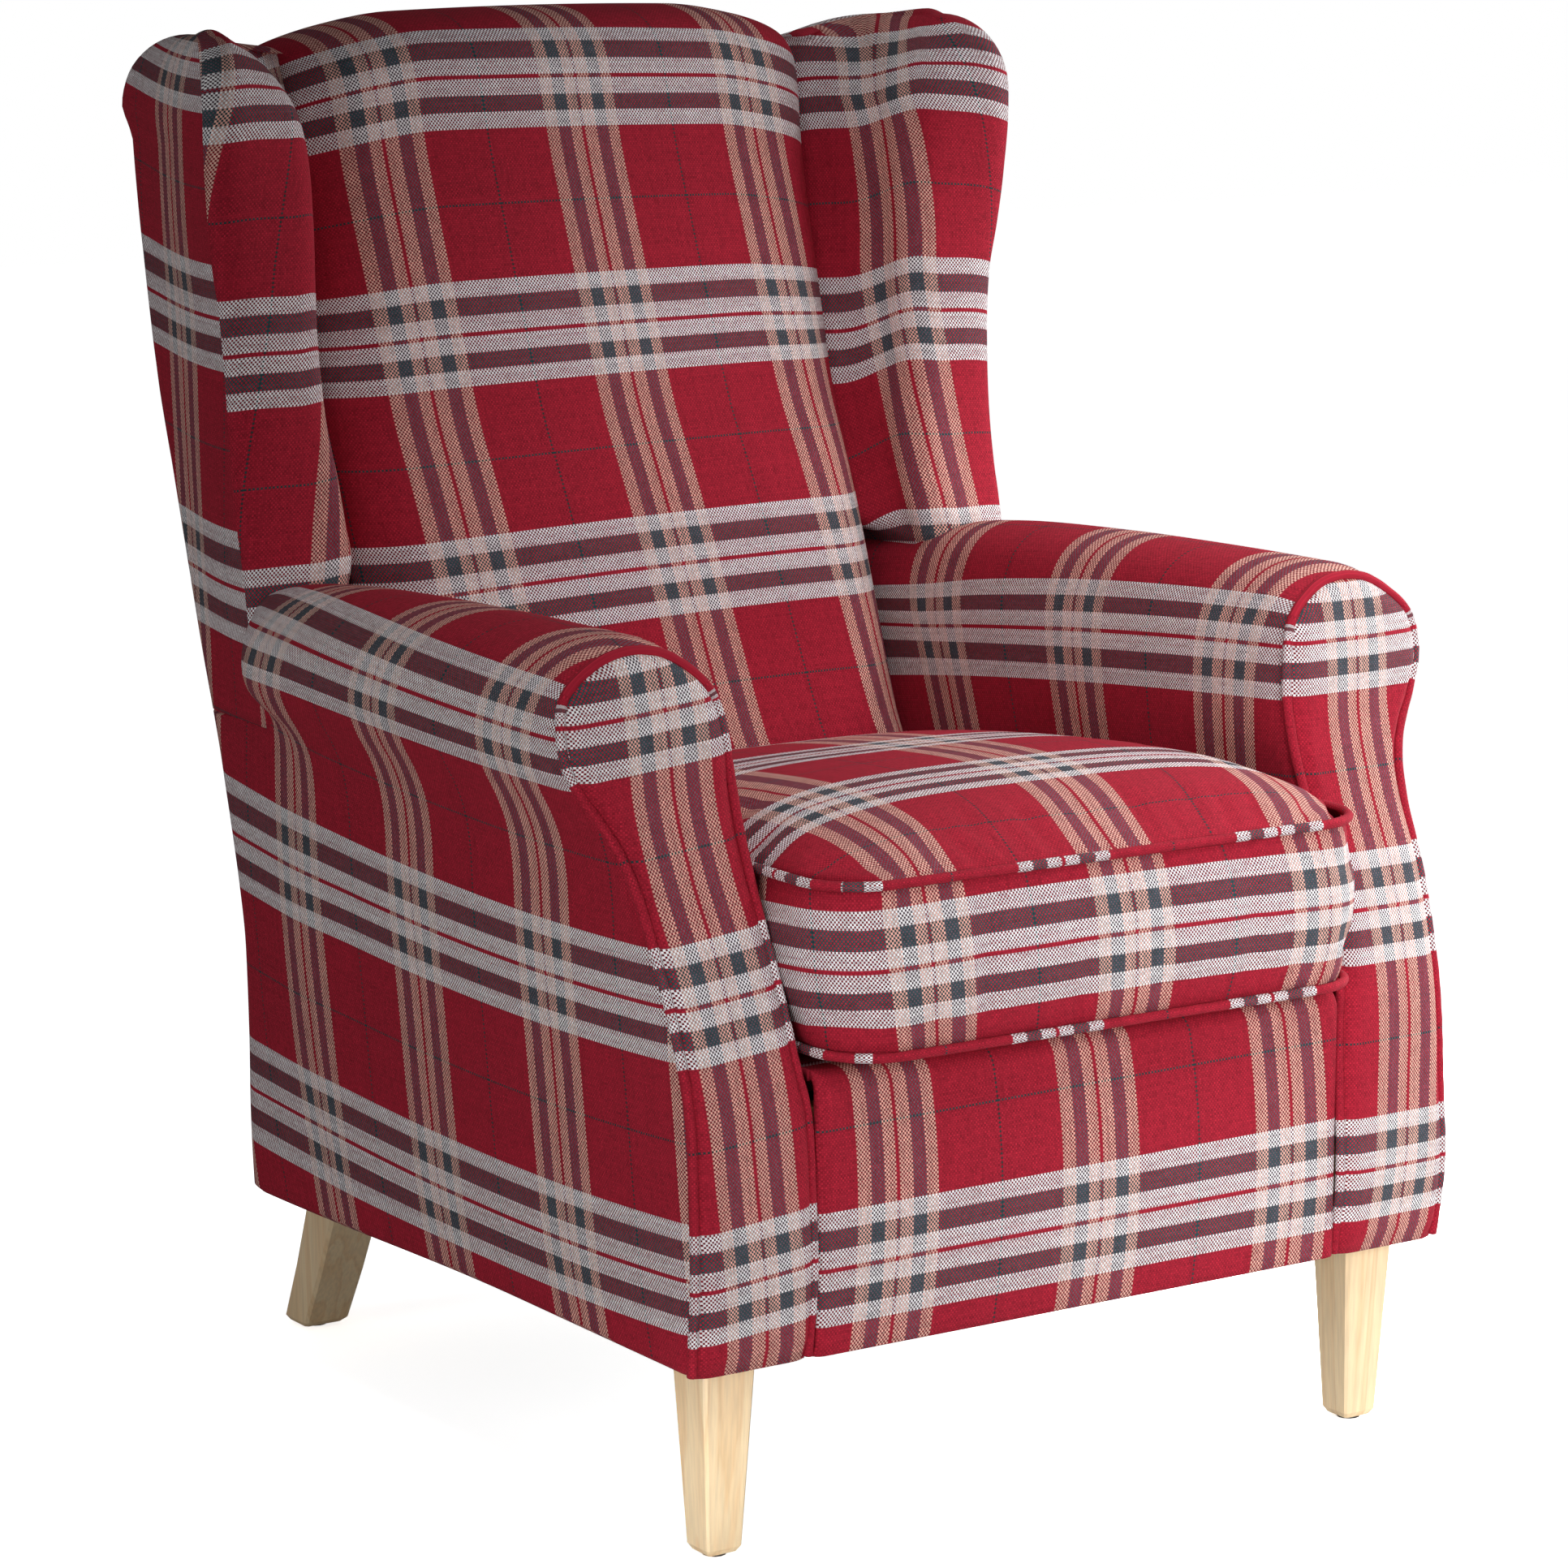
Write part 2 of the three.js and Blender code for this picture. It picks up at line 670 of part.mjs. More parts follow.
// Side view of the inside back pad: front line, roll over the top rail, and back down inside
function padRing(x) {
  const across = Math.abs(x) / padHalfWidth;
  const draw = padEdgeDraw * across ** padDrawPower;
  const drop = padTopDrop * across ** padDropPower;
  const behind = postSetback + postDepth + padStandoff;
  const frontTop = deckTop + padFrontTopShare * padHeight;
  const front = padLevels(deckTop + gap, frontTop)
    .map((z) => [x, padFrontY(z) + draw, z - (z > armTop ? drop : 0)]);
  const rollFront = padFrontY(frontTop);
  const rollRear = rearY(backTop - padTopDrop) + padRearRoll - rearPanelThickness;
  const rollHeight = backTop - frontTop;
  const roll = padRollShares.map(([back, up]) => [
    x,
    rollFront + draw * (1 - back) + back * (rollRear - rollFront),
    frontTop + up * rollHeight - drop,
  ]);
  const hookOuter = [x, rearY(rearPanelTop) + gap, rearPanelTop + gap];
  const hookLow = rearPanelTop + gap;
  const hookTop = topRailTop + padStandoff;
  const hookDepth = behind - backRailDepth - 2 * padStandoff;
  return [
    ...front,
    ...roll,
    [x, rollRear, frontTop - rollHeight / 2 - drop],
    hookOuter,
    [x, rearY(hookLow) - hookDepth, hookLow],
    [x, rearY(hookTop) - hookDepth, hookTop],
    [x, rearY(hookTop) - behind, hookTop],
    ...rearLevels(deckTop + gap, hookTop - gap).slice(0, -1).reverse()
      .map((z) => [x, rearY(z) - behind, z]),
  ];
}

function makeBack() {
  const stations = [...padStationShares.slice(1).map((share) => -share).reverse(), ...padStationShares];
  const rings = stations.map((share) => padRing(share * padHalfWidth));
  addPiece('back_pad', loft(rings, flatYZ), clothLook);

  const heights = rearLevels(baseBottom, rearPanelTop);
  const panel = prismX([
    ...heights.map((z) => [rearY(z) - rearPanelThickness, z]),
    ...heights.map((z) => [rearY(z), z]).reverse(),
  ], -sideHalfWidth, sideHalfWidth);
  const cutter = cornerCutter();
  const otherCutter = toSolid(mirrored(toGeometry(cutter)));
  addPiece('outside_back', toGeometry(panel.subtract(cutter).subtract(otherCutter)), clothLook);

  addPair('back_post', toGeometry(backPost(0, 0)), timberLook);
  addPiece('back_rail_top', toGeometry(backRail(topRailBottom, topRailTop, 0)), timberLook);
  addPiece('back_rail_lower', toGeometry(backRail(lowerRailBottom, lowerRailTop, 0)), timberLook);
  strapCentres.forEach((centre, i) => {
    addPiece(`back_webbing_${i + 1}`, toGeometry(backStrap(centre, 0)), webLook);
  });
}

// Corner blocks and the sheet under the base share these outlines
const frontBlock = [
  [sideRailOuter - boardThickness - gap, frontBlockFront],
  [sideRailOuter - boardThickness - gap, frontBlockFront + frontBlockReach],
  [sideRailOuter - boardThickness - gap - blockNose, frontBlockFront + frontBlockReach],
  [sideRailOuter - boardThickness - gap - frontBlockReach, frontBlockFront + blockNose],
  [sideRailOuter - boardThickness - gap - frontBlockReach, frontBlockFront],
];
const rearBlock = [
  [postInner - gap, rearRailFront + boardThickness],
  [postInner - gap, rearRailFront + boardThickness - rearBlockReach],
  [postInner - gap - blockNose, rearRailFront + boardThickness - rearBlockReach],
  [postInner - gap - rearBlockReach, rearRailFront + boardThickness - blockNose],
  [postInner - gap - rearBlockReach, rearRailFront + boardThickness],
];

function makeSeatFrame() {
  const stumpInner = armInner + skinThickness + pocketGap - gap;
  addPiece('rail_front', toGeometry(box(
    -stumpInner, stumpInner, frontRailFront, frontRailFront + boardThickness, frameBottom, railTop,
  )), timberLook);
  const half = postInner - gap;
  const notch = half - rearBlockReach - gap;
  addPiece('rail_rear', toGeometry(prismY([
    [-half, blockTop + gap], [-notch, blockTop + gap], [-notch, frameBottom], [notch, frameBottom],
    [notch, blockTop + gap], [half, blockTop + gap], [half, railTop], [-half, railTop],
  ], rearRailFront, rearRailFront + boardThickness)), timberLook);
  addPair('rail_side', toGeometry(box(
    sideRailOuter - boardThickness, sideRailOuter, sideRailFront, sideRailRear, frameBottom, railTop,
  )), timberLook);
  const hole = (leg) => rod(leg.x, leg.y, boltBottom - gap, blockTop + overrun, boltRadius + gap);
  addPair('corner_block_front', toGeometry(
    prismZ(frontBlock, frameBottom, blockTop).subtract(hole(frontLeg)),
  ), timberLook);
  addPair('corner_block_rear', toGeometry(
    prismZ(rearBlock, frameBottom, blockTop).subtract(hole(rearLeg)),
  ), timberLook);

  springPlaces.forEach((x, i) => {
    const bends = Math.round((springRear - springFront) / (springPitch / 2));
    const height = railTop + gap + springWireRadius;
    const points = Array.from({ length: 2 * bends + 1 }, (_, step) => [
      x + springSwing * Math.sin(step * Math.PI / 2),
      springFront + step * (springRear - springFront) / (2 * bends),
      height,
    ]);
    addPiece(`seat_spring_${i + 1}`, tube(points, springWireRadius, wireSides, 4 * bends), steelLook);
  });

  const deckFront = frontRailFront + boardThickness + gap;
  addPiece('seat_deck', toGeometry(box(
    3 * gap - armInner, armInner - 3 * gap, deckFront, rearY(deckTop) - postSetback - postDepth - gap,
    deckTop - deckThickness, deckTop,
  )), foamLook);
}

function makeApron() {
  const inner = apronFront + apronThickness;
  const lipRear = frontRailFront + boardThickness;
  const arc = apronArcShares.map((share) => {
    const angle = share * Math.PI / 2;
    return [
      apronFront + apronEdgeRadius * (1 - Math.cos(angle)),
      deckTop - apronEdgeRadius * (1 - Math.sin(angle)),
    ];
  });
  addPiece('front_apron', toGeometry(prismX([
    [apronFront, baseBottom],
    ...arc,
    [lipRear, deckTop],
    [lipRear, deckTop - apronLip],
    [inner + gap, deckTop - apronLip],
    [inner, deckTop - apronLip - gap],
    [inner, baseBottom],
  ], gap - armInner, armInner - gap)), clothLook);
}

function legRing(leg, share, grow) {
  const z = share * (frameBottom - gap - glideHeight) + glideHeight;
  const half = (leg.foot + (leg.top - leg.foot) * share) / 2 + grow;
  const halfDepth = (leg.depthFoot + (leg.depthTop - leg.depthFoot) * share) / 2 + grow;
  const ease = share === 0 ? legFootEaseShare * half : 0;
  const cut = legCornerShare * half;
  const y = leg.y + leg.sweep * Math.max(0, 1 - share) ** legSweepPower;
  const w = half - ease;
  const d = halfDepth - ease;
  return [
    [w, d - cut], [w - cut, d], [cut - w, d], [-w, d - cut],
    [-w, cut - d], [cut - w, -d], [w - cut, -d], [w, cut - d],
  ].map(([dx, dy]) => [leg.x + dx, y + dy, z]);
}

function makeLegs() {
  for (const [place, leg] of [['front', frontLeg], ['rear', rearLeg]]) {
    const body = toSolid(loft(legLevelShares.map((share) => legRing(leg, share, 0)), flatXY));
    const hole = rod(leg.x, leg.y, boltBottom - gap, frameBottom + overrun, boltRadius + gap);
    addPair(`leg_${place}`, toGeometry(body.subtract(hole)), beechLook);
    const bolt = rod(leg.x, leg.y, boltBottom, blockTop - gap, boltRadius);
    addPair(`hanger_bolt_${place}`, toGeometry(bolt), steelLook);
    const footY = leg.y + leg.sweep;
    addPair(`glide_${place}`, toGeometry(rod(leg.x, footY, 0, glideHeight - gap, glideRadius)), plasticLook);
  }
}

function makeDustCover() {
  const half = sideRailOuter - gap;
  let sheet = box(
    -half, half, frontBlockFront, sideRailRear, baseBottom + gap, frameBottom - gap,
  );
  for (const leg of [frontLeg, rearLeg]) {
    const top = legRing(leg, 1, legClear);
    const raised = top.map(([x, y, z]) => [x, y, z + overrun]);
    const below = legRing(leg, legLevelShares[legLevelShares.length - 2], legClear);
    const shaft = loft([below, top, raised], flatXY);
    sheet = sheet.subtract(toSolid(shaft)).subtract(toSolid(mirrored(shaft)));
  }
  addPiece('dust_cover', toGeometry(sheet), webLook);
}

// Level outline of the cushion with rounded corners, grown sideways, forwards and back
function cushionRing(z, side, forward, back, scale) {
  const half = cushionHalfWidth + side;
  const front = cushionFront - forward;
  const rear = cushionRear + back;
  const middle = (front + rear) / 2;
  const near = frontCornerRadius;
  const far = rearCornerRound;
  const corner = (x, y, radius, from) => Array.from({ length: cushionCornerSteps + 1 }, (_, i) => {
    const angle = from + i * Math.PI / (2 * cushionCornerSteps);
    return [x + radius * Math.cos(angle), y + radius * Math.sin(angle)];
  });
  const corners = [
    corner(half - far, rear - far, far, 0),
    corner(far - half, rear - far, far, Math.PI / 2),
    corner(near - half, front + near, near, Math.PI),
    corner(half - near, front + near, near, 1.5 * Math.PI),
  ];
  const outline = corners.flatMap((arc, i) => {
    const [startX, startY] = arc[arc.length - 1];
    const [endX, endY] = corners[(i + 1) % corners.length][0];
    const straight = sideStepShares.map((share) => [
      startX + share * (endX - startX),
      startY + share * (endY - startY),
    ]);
    return [...arc, ...straight];
  });
  return outline.map(([x, y]) => [x * scale, middle + (y - middle) * scale, z]);
}

function seamRing(up, bulge) {
  const swell = bulge * boxingBulge;
  return cushionRing(
    bottomSeamZ + up * (topSeamZ - bottomSeamZ),
    swell + up * topSeamSpread,
    swell - up * topSeamSetback,
    rearBulgeShare * swell,
    1,
  );
}

function makeCushion() {
  const lower = lowerCrownShares.map(([scale, up]) => (
    cushionRing(cushionBottom + up * (bottomSeamZ - cushionBottom), 0, 0, 0, scale)
  ));
  const boxing = boxingShares.map(([up, bulge]) => seamRing(up, bulge));
  const upper = upperCrownShares.map(([scale, up]) => (
    cushionRing(topSeamZ + up * (crownTop - topSeamZ), topSeamSpread, -topSeamSetback, 0, scale)
  ));
  addPiece('seat_cushion', loft([...lower, ...boxing, ...upper], flatXY), clothLook);

  const out = cushionPipingRadius + pipingStandoff;
  const seams = [
    ['top', cushionRing(topSeamZ, topSeamSpread + out, out - topSeamSetback, out, 1)],
    ['bottom', cushionRing(bottomSeamZ, out, out, out, 1)],
  ];
  for (const [name, ring] of seams) {
    const joint = ring.findIndex(([x], i) => x > 0 && ring[(i + 1) % ring.length][0] <= 0);
    const [, rearLine, z] = ring[joint];
    const line = [...ring.slice(joint + 2), ...ring.slice(0, joint + 1)];
    const path = [[-gap, rearLine, z], ...line, [gap, rearLine, z]];
    const cord = tube(path, cushionPipingRadius, pipingSides, cushionPipingSteps);
    addPiece(`cushion_piping_${name}`, cord, pipingLook);
  }
}

makeLegs();
makeSeatFrame();
makeDustCover();
makeBack();
makeArms();
makeWings();
makeApron();
makeCushion();

// The origin stands under the middle of the footprint
const bounds = new THREE.Box3().setFromObject(group);
group.position.y = -(bounds.min.y + bounds.max.y) / 2;

export default group;
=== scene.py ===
import json
import math

import bpy
import bmesh
import numpy as np
from mathutils.bvhtree import BVHTree
from mathutils.geometry import barycentric_transform
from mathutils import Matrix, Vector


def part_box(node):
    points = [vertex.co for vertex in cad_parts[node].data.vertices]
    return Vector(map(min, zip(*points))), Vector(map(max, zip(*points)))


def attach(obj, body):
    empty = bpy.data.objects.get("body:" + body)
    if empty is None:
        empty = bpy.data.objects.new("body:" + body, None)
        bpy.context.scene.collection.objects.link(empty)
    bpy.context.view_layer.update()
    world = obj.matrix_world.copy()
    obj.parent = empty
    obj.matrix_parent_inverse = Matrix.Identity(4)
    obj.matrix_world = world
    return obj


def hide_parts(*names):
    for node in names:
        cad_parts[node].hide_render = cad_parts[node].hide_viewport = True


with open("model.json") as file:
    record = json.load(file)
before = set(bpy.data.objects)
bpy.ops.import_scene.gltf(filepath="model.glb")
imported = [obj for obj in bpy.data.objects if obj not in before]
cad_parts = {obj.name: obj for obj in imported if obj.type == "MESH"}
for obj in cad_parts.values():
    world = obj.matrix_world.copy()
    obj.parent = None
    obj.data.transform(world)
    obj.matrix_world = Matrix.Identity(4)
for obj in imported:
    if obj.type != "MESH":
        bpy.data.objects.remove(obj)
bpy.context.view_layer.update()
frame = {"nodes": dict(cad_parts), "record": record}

MM = 0.001
APRON_FRONT = -399.0
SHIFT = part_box("front_apron")[0][1] - APRON_FRONT * MM

# Lines of the chair: heights, places and widths are in mm, in the CAD source's frame
BASE_BOTTOM, DECK_TOP, BACK_TOP, ARM_TOP, WING_TOP = 146.0, 353.7, 1059.0, 653.0, 1047.0
# where the outside back, the inside back and the arm fronts stand at their foot, and how far they lean back
REAR_FOOT, REAR_LEAN = 284.0, 183.0
PAD_FOOT, PAD_LEAN, PAD_RISE = 130.0, 170.0, 705.0
ARM_NOSE, ARM_LEAN = -412.0, 109.0
# their side views, as shares of the height and of the lean
REAR_SHARES = [(0, 0), (.21, .044), (.356, .165), (.472, .355), (.596, .55), (.69, .7), (.768, .785),
               (.837, .85), (1, .96)]
PAD_SHARES = [(0, 0), (.12, 0), (.19, .118), (.386, .4), (.47, .53), (.553, .665), (.668, .776),
              (.752, .853), (.857, .94), (.94, .976), (1, .99)]
ARM_FRONT_SHARES = [(0, .064), (.136, 0), (.29, .055), (.464, .193), (.56, .33), (.675, .57), (.753, .716),
                    (.907, .894), (1, 1)]
# lines of the wings and the side at each height: depth of the front, and widths
WING_FRONT = [(420, 176), (520, 188), (560, 192), (614, 199), (653, 207), (672, 212), (718, 220), (762, 224),
              (830, 227), (918, 223), (970, 221), (1047, 221)]
WING_OUTER = [(400, 344), (440, 345), (520, 348), (560, 352.5), (614, 358), (718, 358), (783, 358.8),
              (836, 362), (873, 368), (918, 373), (970, 376), (1047, 376)]
SIDE_REAR = [(140, 338.2), (200, 339.7), (264, 338.5), (330, 338.2), (381, 340), (430, 342), (480, 343.6),
             (520, 344), (1060, 344)]
WING_INNER = [(520, 284), (600, 279), (653, 264), (700, 265), (760, 271), (830, 273), (1047, 273)]
# how far the wing's inner edge stands behind its outer one at each height
WING_BACKSET = [(520, -18), (631, -14), (700, -8), (790, -2), (871, 2), (952, 12), (1047, 26)]
# the arm seen from the front, from the outer hem over the roll to the inner hem
ARM_OUTLINE = [
    (338.2, 146), (339.7, 200), (338.5, 264), (338.2, 330), (340, 381), (342.8, 430), (346, 480), (352, 508),
    (362, 530), (374, 550), (383, 572), (385, 595), (379.5, 617.5), (364, 637), (343, 649), (318, 653),
    (291, 648), (270.6, 634), (256.4, 610), (250, 580), (248, 540), (248, 490), (247.5, 440), (244.6, 384),
    (242, 354), (237.7, 331), (236, 298), (236, 247), (236, 197), (236, 146)]
REAR_PANEL_TOP = 960.0
WING_FOOT, WING_ROUND, NECK = 520.0, 62.0, 500.0
# how far the wing's lines draw in over its rounded top
DRAW_FRONT, DRAW_OUTER, DRAW_SIDE, DRAW_REAR, DRAW_BACK, DRAW_INNER = 58, 26, 20, 95, 26, 30
INNER_ROUND, REAR_ROUND = 120.0, 75.0
# above the outside back's cloth the wing's rear stands proud of it, and below it stands back
REAR_PROUD, REAR_SETBACK = 16, 12.3
# padding or cloth that each cover is thick
ARM_PADDING, BACK_PADDING, APRON_PADDING, PANEL_CLOTH, LINING_CLOTH = 10, 22, 8, 3, 0.6
# how far the sewn facing stands behind the front line, and how far the arm roll falls towards the wing
FACING_BACK = [(146, 7), (250, 7), (341, 3.5), (400, 7), (440, 9), (505, 13), (545, 12), (575, 8), (600, 6),
               (653, 8)]
ROLL_FALL = [(-300, 0), (-200, 1), (-50, 4.5), (20, 7.5), (100, 12), (175, 19), (260, 24)]
CORNER = 45.0
PANEL_SETBACK = 12.0
SEAM_INSET, SEAM_MORE = 5.2, 5.0
HEM_FALL = 9.0
# the side cloth turns this far round the rear corner, where the outside back meets it
CORNER_TURN = math.asin((CORNER - PANEL_SETBACK) / CORNER)


def smooth(table, at):
    """Monotone cubic through the rows of a table."""
    xs, ys = np.array(table, float).T
    at = np.asarray(at, float)
    run, rise = np.diff(xs), np.diff(ys) / np.diff(xs)
    slope = np.empty_like(ys)
    both = rise[:-1] * rise[1:]
    total = rise[:-1] + rise[1:]
    slope[1:-1] = np.where(both > 0, 2 * both / np.where(total == 0, 1, total), 0)
    slope[0], slope[-1] = rise[0], rise[-1]
    i = np.clip(np.searchsorted(xs, at) - 1, 0, len(xs) - 2)
    t = (at - xs[i]) / run[i]
    inside = np.clip(t, 0, 1)
    h = inside * inside * (3 - 2 * inside)
    value = (ys[i] * (1 - h) + ys[i + 1] * h
             + run[i] * (inside * (1 - inside) ** 2 * slope[i] - inside ** 2 * (1 - inside) * slope[i + 1]))
    return value + (t - inside) * run[i] * np.where(t < 0, slope[i], slope[i + 1])


def rear_y(z):
    """The outside back's depth at a height."""
    share = (np.asarray(z, float) - BASE_BOTTOM) / (BACK_TOP - BASE_BOTTOM)
    return REAR_FOOT + REAR_LEAN * smooth(REAR_SHARES, share)


def pad_y(z):
    """The inside back's depth at a height."""
    return PAD_FOOT + PAD_LEAN * smooth(PAD_SHARES, (np.asarray(z, float) - DECK_TOP) / PAD_RISE)


def arm_y(z):
    """The arm front's depth at a height."""
    share = (np.asarray(z, float) - BASE_BOTTOM) / (ARM_TOP - BASE_BOTTOM)
    return ARM_NOSE + ARM_LEAN * smooth(ARM_FRONT_SHARES, share)


def ease(t):
    """0 to 1 with a soft start and end."""
    t = np.clip(t, 0, 1)
    return t * t * (3 - 2 * t)


def after(value, start, length):
    """0 up to start, 1 from length beyond it, eased between."""
    return ease((value - start) / length)


def round_in(share):
    """A quarter round: 0 at share 0 and 1 at share 1, steep at the end."""
    return 1 - np.sqrt(np.clip(1 - share ** 2, 0, 1))


def facing_y(z):
    return arm_y(z) + smooth(FACING_BACK, z)


def seam_inset(z):
    """How far in the facing's seam sits: deeper on top of the scroll, where the cover rolls over."""
    return SEAM_INSET + SEAM_MORE * after(np.asarray(z, float), 612, 32)


def let_down(points):
    """Arm points with the roll falling towards the wing."""
    out = points.copy()
    out[..., 2] -= smooth(ROLL_FALL, points[..., 1]) * after(points[..., 2], 518, 100)
    return out


def lerp(a, b, t):
    return a + (b - a) * t


def hem_fall(points):
    """The lower edge of the base hangs a little lower towards the rear."""
    out = points.copy()
    out[..., 2] -= HEM_FALL * after(points[..., 1], -150, 400) * ease((215 - points[..., 2]) / 65)
    return out


def segment_distance(points, line):
    """Distance of each point to a line of segments."""
    start, run = line[:-1], np.diff(line, axis=0)
    flat = points.reshape(-1, 1, 2) - start
    t = np.clip((flat * run).sum(-1) / (run ** 2).sum(-1), 0, 1)
    return np.linalg.norm(flat - t[..., None] * run, axis=-1).min(axis=1).reshape(points.shape[:-1])


def side_x(y, z):
    """X of the outer side behind the arm roll: flared wing in front, straight side at the rear."""
    start, end = smooth(WING_FRONT, z), rear_y(z) - CORNER
    t = np.clip((y - start) / (end - start), 0, 1)
    return lerp(smooth(WING_OUTER, z), smooth(SIDE_REAR, z), t)


def through(points, steps=24):
    """Centripetal Catmull-Rom curve through points."""
    p = np.array(points, float)
    p = np.vstack([2 * p[0] - p[1], p, 2 * p[-1] - p[-2]])
    knots = np.concatenate([[0], np.cumsum(np.linalg.norm(np.diff(p, axis=0), axis=1) ** 0.5)])
    out = []
    for i in range(1, len(p) - 2):
        k = knots[i - 1:i + 3]
        s = np.linspace(k[1], k[2], steps, endpoint=False)[:, None]
        a = [p[i - 1 + j] * (k[j + 1] - s) / (k[j + 1] - k[j]) + p[i + j] * (s - k[j]) / (k[j + 1] - k[j])
             for j in range(3)]
        b = [a[j] * (k[j + 2] - s) / (k[j + 2] - k[j]) + a[j + 1] * (s - k[j]) / (k[j + 2] - k[j])
             for j in range(2)]
        out.append(b[0] * (k[2] - s) / (k[2] - k[1]) + b[1] * (s - k[1]) / (k[2] - k[1]))
    return np.vstack(out + [p[-2:-1]])


def length_along(p):
    return np.concatenate([[0], np.cumsum(np.linalg.norm(np.diff(p, axis=0), axis=1))])


def at_length(p, wanted):
    s = length_along(p)
    return np.stack([np.interp(wanted, s, p[:, k]) for k in range(p.shape[1])], -1)


def spread(p, count):
    return at_length(p, np.linspace(0, length_along(p)[-1], count))


# Meshes
def weld_piece(name, grids, inside, gap=1e-5):
    """One mesh from several grids of points in mm, each with cloth places u, v in metres.
    Its faces look away from the point inside."""
    mesh = bpy.data.meshes.new(name)
    verts, faces, uvs = [], [], []
    for points, cloth in grids:
        rows, cols = points.shape[:2]
        start = len(verts)
        metres = points * MM + (0, SHIFT, 0)
        verts.extend(metres.reshape(-1, 3).tolist())
        flat = cloth.reshape(-1, 2).tolist()
        across, along = np.diff(points, axis=1)[:-1], np.diff(points, axis=0)[:, :-1]
        turn = (np.cross(across, along) * (points[:-1, :-1] - inside)).sum() < 0
        for i in range(rows - 1):
            for j in range(cols - 1):
                a = i * cols + j
                ring = (a, a + 1, a + cols + 1, a + cols)
                if turn:
                    ring = ring[::-1]
                faces.append([start + k for k in ring])
                uvs.extend(flat[k] for k in ring)
    mesh.from_pydata(verts, [], faces)
    layer = mesh.uv_layers.new(name="cloth")
    layer.data.foreach_set("uv", np.array(uvs).reshape(-1))
    body = bmesh.new()
    body.from_mesh(mesh)
    bmesh.ops.remove_doubles(body, verts=body.verts, dist=gap)
    bmesh.ops.dissolve_degenerate(body, edges=body.edges, dist=gap)
    body.to_mesh(mesh)
    body.free()
    mesh.shade_smooth()
    piece = bpy.data.objects.new(name, mesh)
    bpy.context.scene.collection.objects.link(piece)
    return piece


def close_holes(piece):
    body = bmesh.new()
    body.from_mesh(piece.data)
    open_edges = [e for e in body.edges if e.is_boundary]
    made = bmesh.ops.holes_fill(body, edges=open_edges, sides=0)["faces"]
    bmesh.ops.triangulate(body, faces=made)
    bmesh.ops.recalc_face_normals(body, faces=body.faces)
    body.to_mesh(piece.data)
    body.free()


def outward(piece):
    """Turns every face away from the inside of a closed piece."""
    body = bmesh.new()
    body.from_mesh(piece.data)
    bmesh.ops.recalc_face_normals(body, faces=body.faces)
    body.to_mesh(piece.data)
    body.free()


def flipped(points):
    out = points.copy()
    out[..., 0] *= -1
    return out


def both_sides(points):
    """What is modelled on the +X side, and its mirror image."""
    return ("right", points), ("left", flipped(points))


def terms(a, b):
    """Powers of a panel's own places, in metres, that its cloth lay is made of."""
    a, b = np.asarray(a) * MM, np.asarray(b) * MM
    one = np.ones_like(a * b)
    return np.stack([one, a * one, b * one, a * b, a * a * one, b * b * one, a * a * b, a * b * b,
                     a ** 3 * one, b ** 3 * one], -1)


# The camera that took the photo, fitted to mirrored points of the chair
CAMERA_PLACE = (-2240.3, -3379.4, 1246.7)
CAMERA_TURN, CAMERA_TILT, CAMERA_LENS, SENSOR = -33.55, 10.83, 121.58, 36.0
PHOTO_SIDE = 1932

# One repeat of the tartan in metres, its threads, and the stripes of its two bands in mm
WARP_REPEAT, WEFT_REPEAT = 0.1905, 0.195
YARNS = 124
CREAM_STRIPE, NAVY_STRIPE, WHITE_STRIPE, MAROON_STRIPE = 12.2, 11.7, 12.7, 13.2
RED_STRIPE, TEAL_LINE = 2.9, 1.6
WARP_WIDTH = (4 * CREAM_STRIPE + 2 * NAVY_STRIPE + RED_STRIPE) * MM
WEFT_WIDTH = (4 * WHITE_STRIPE + 2 * MAROON_STRIPE + RED_STRIPE) * MM

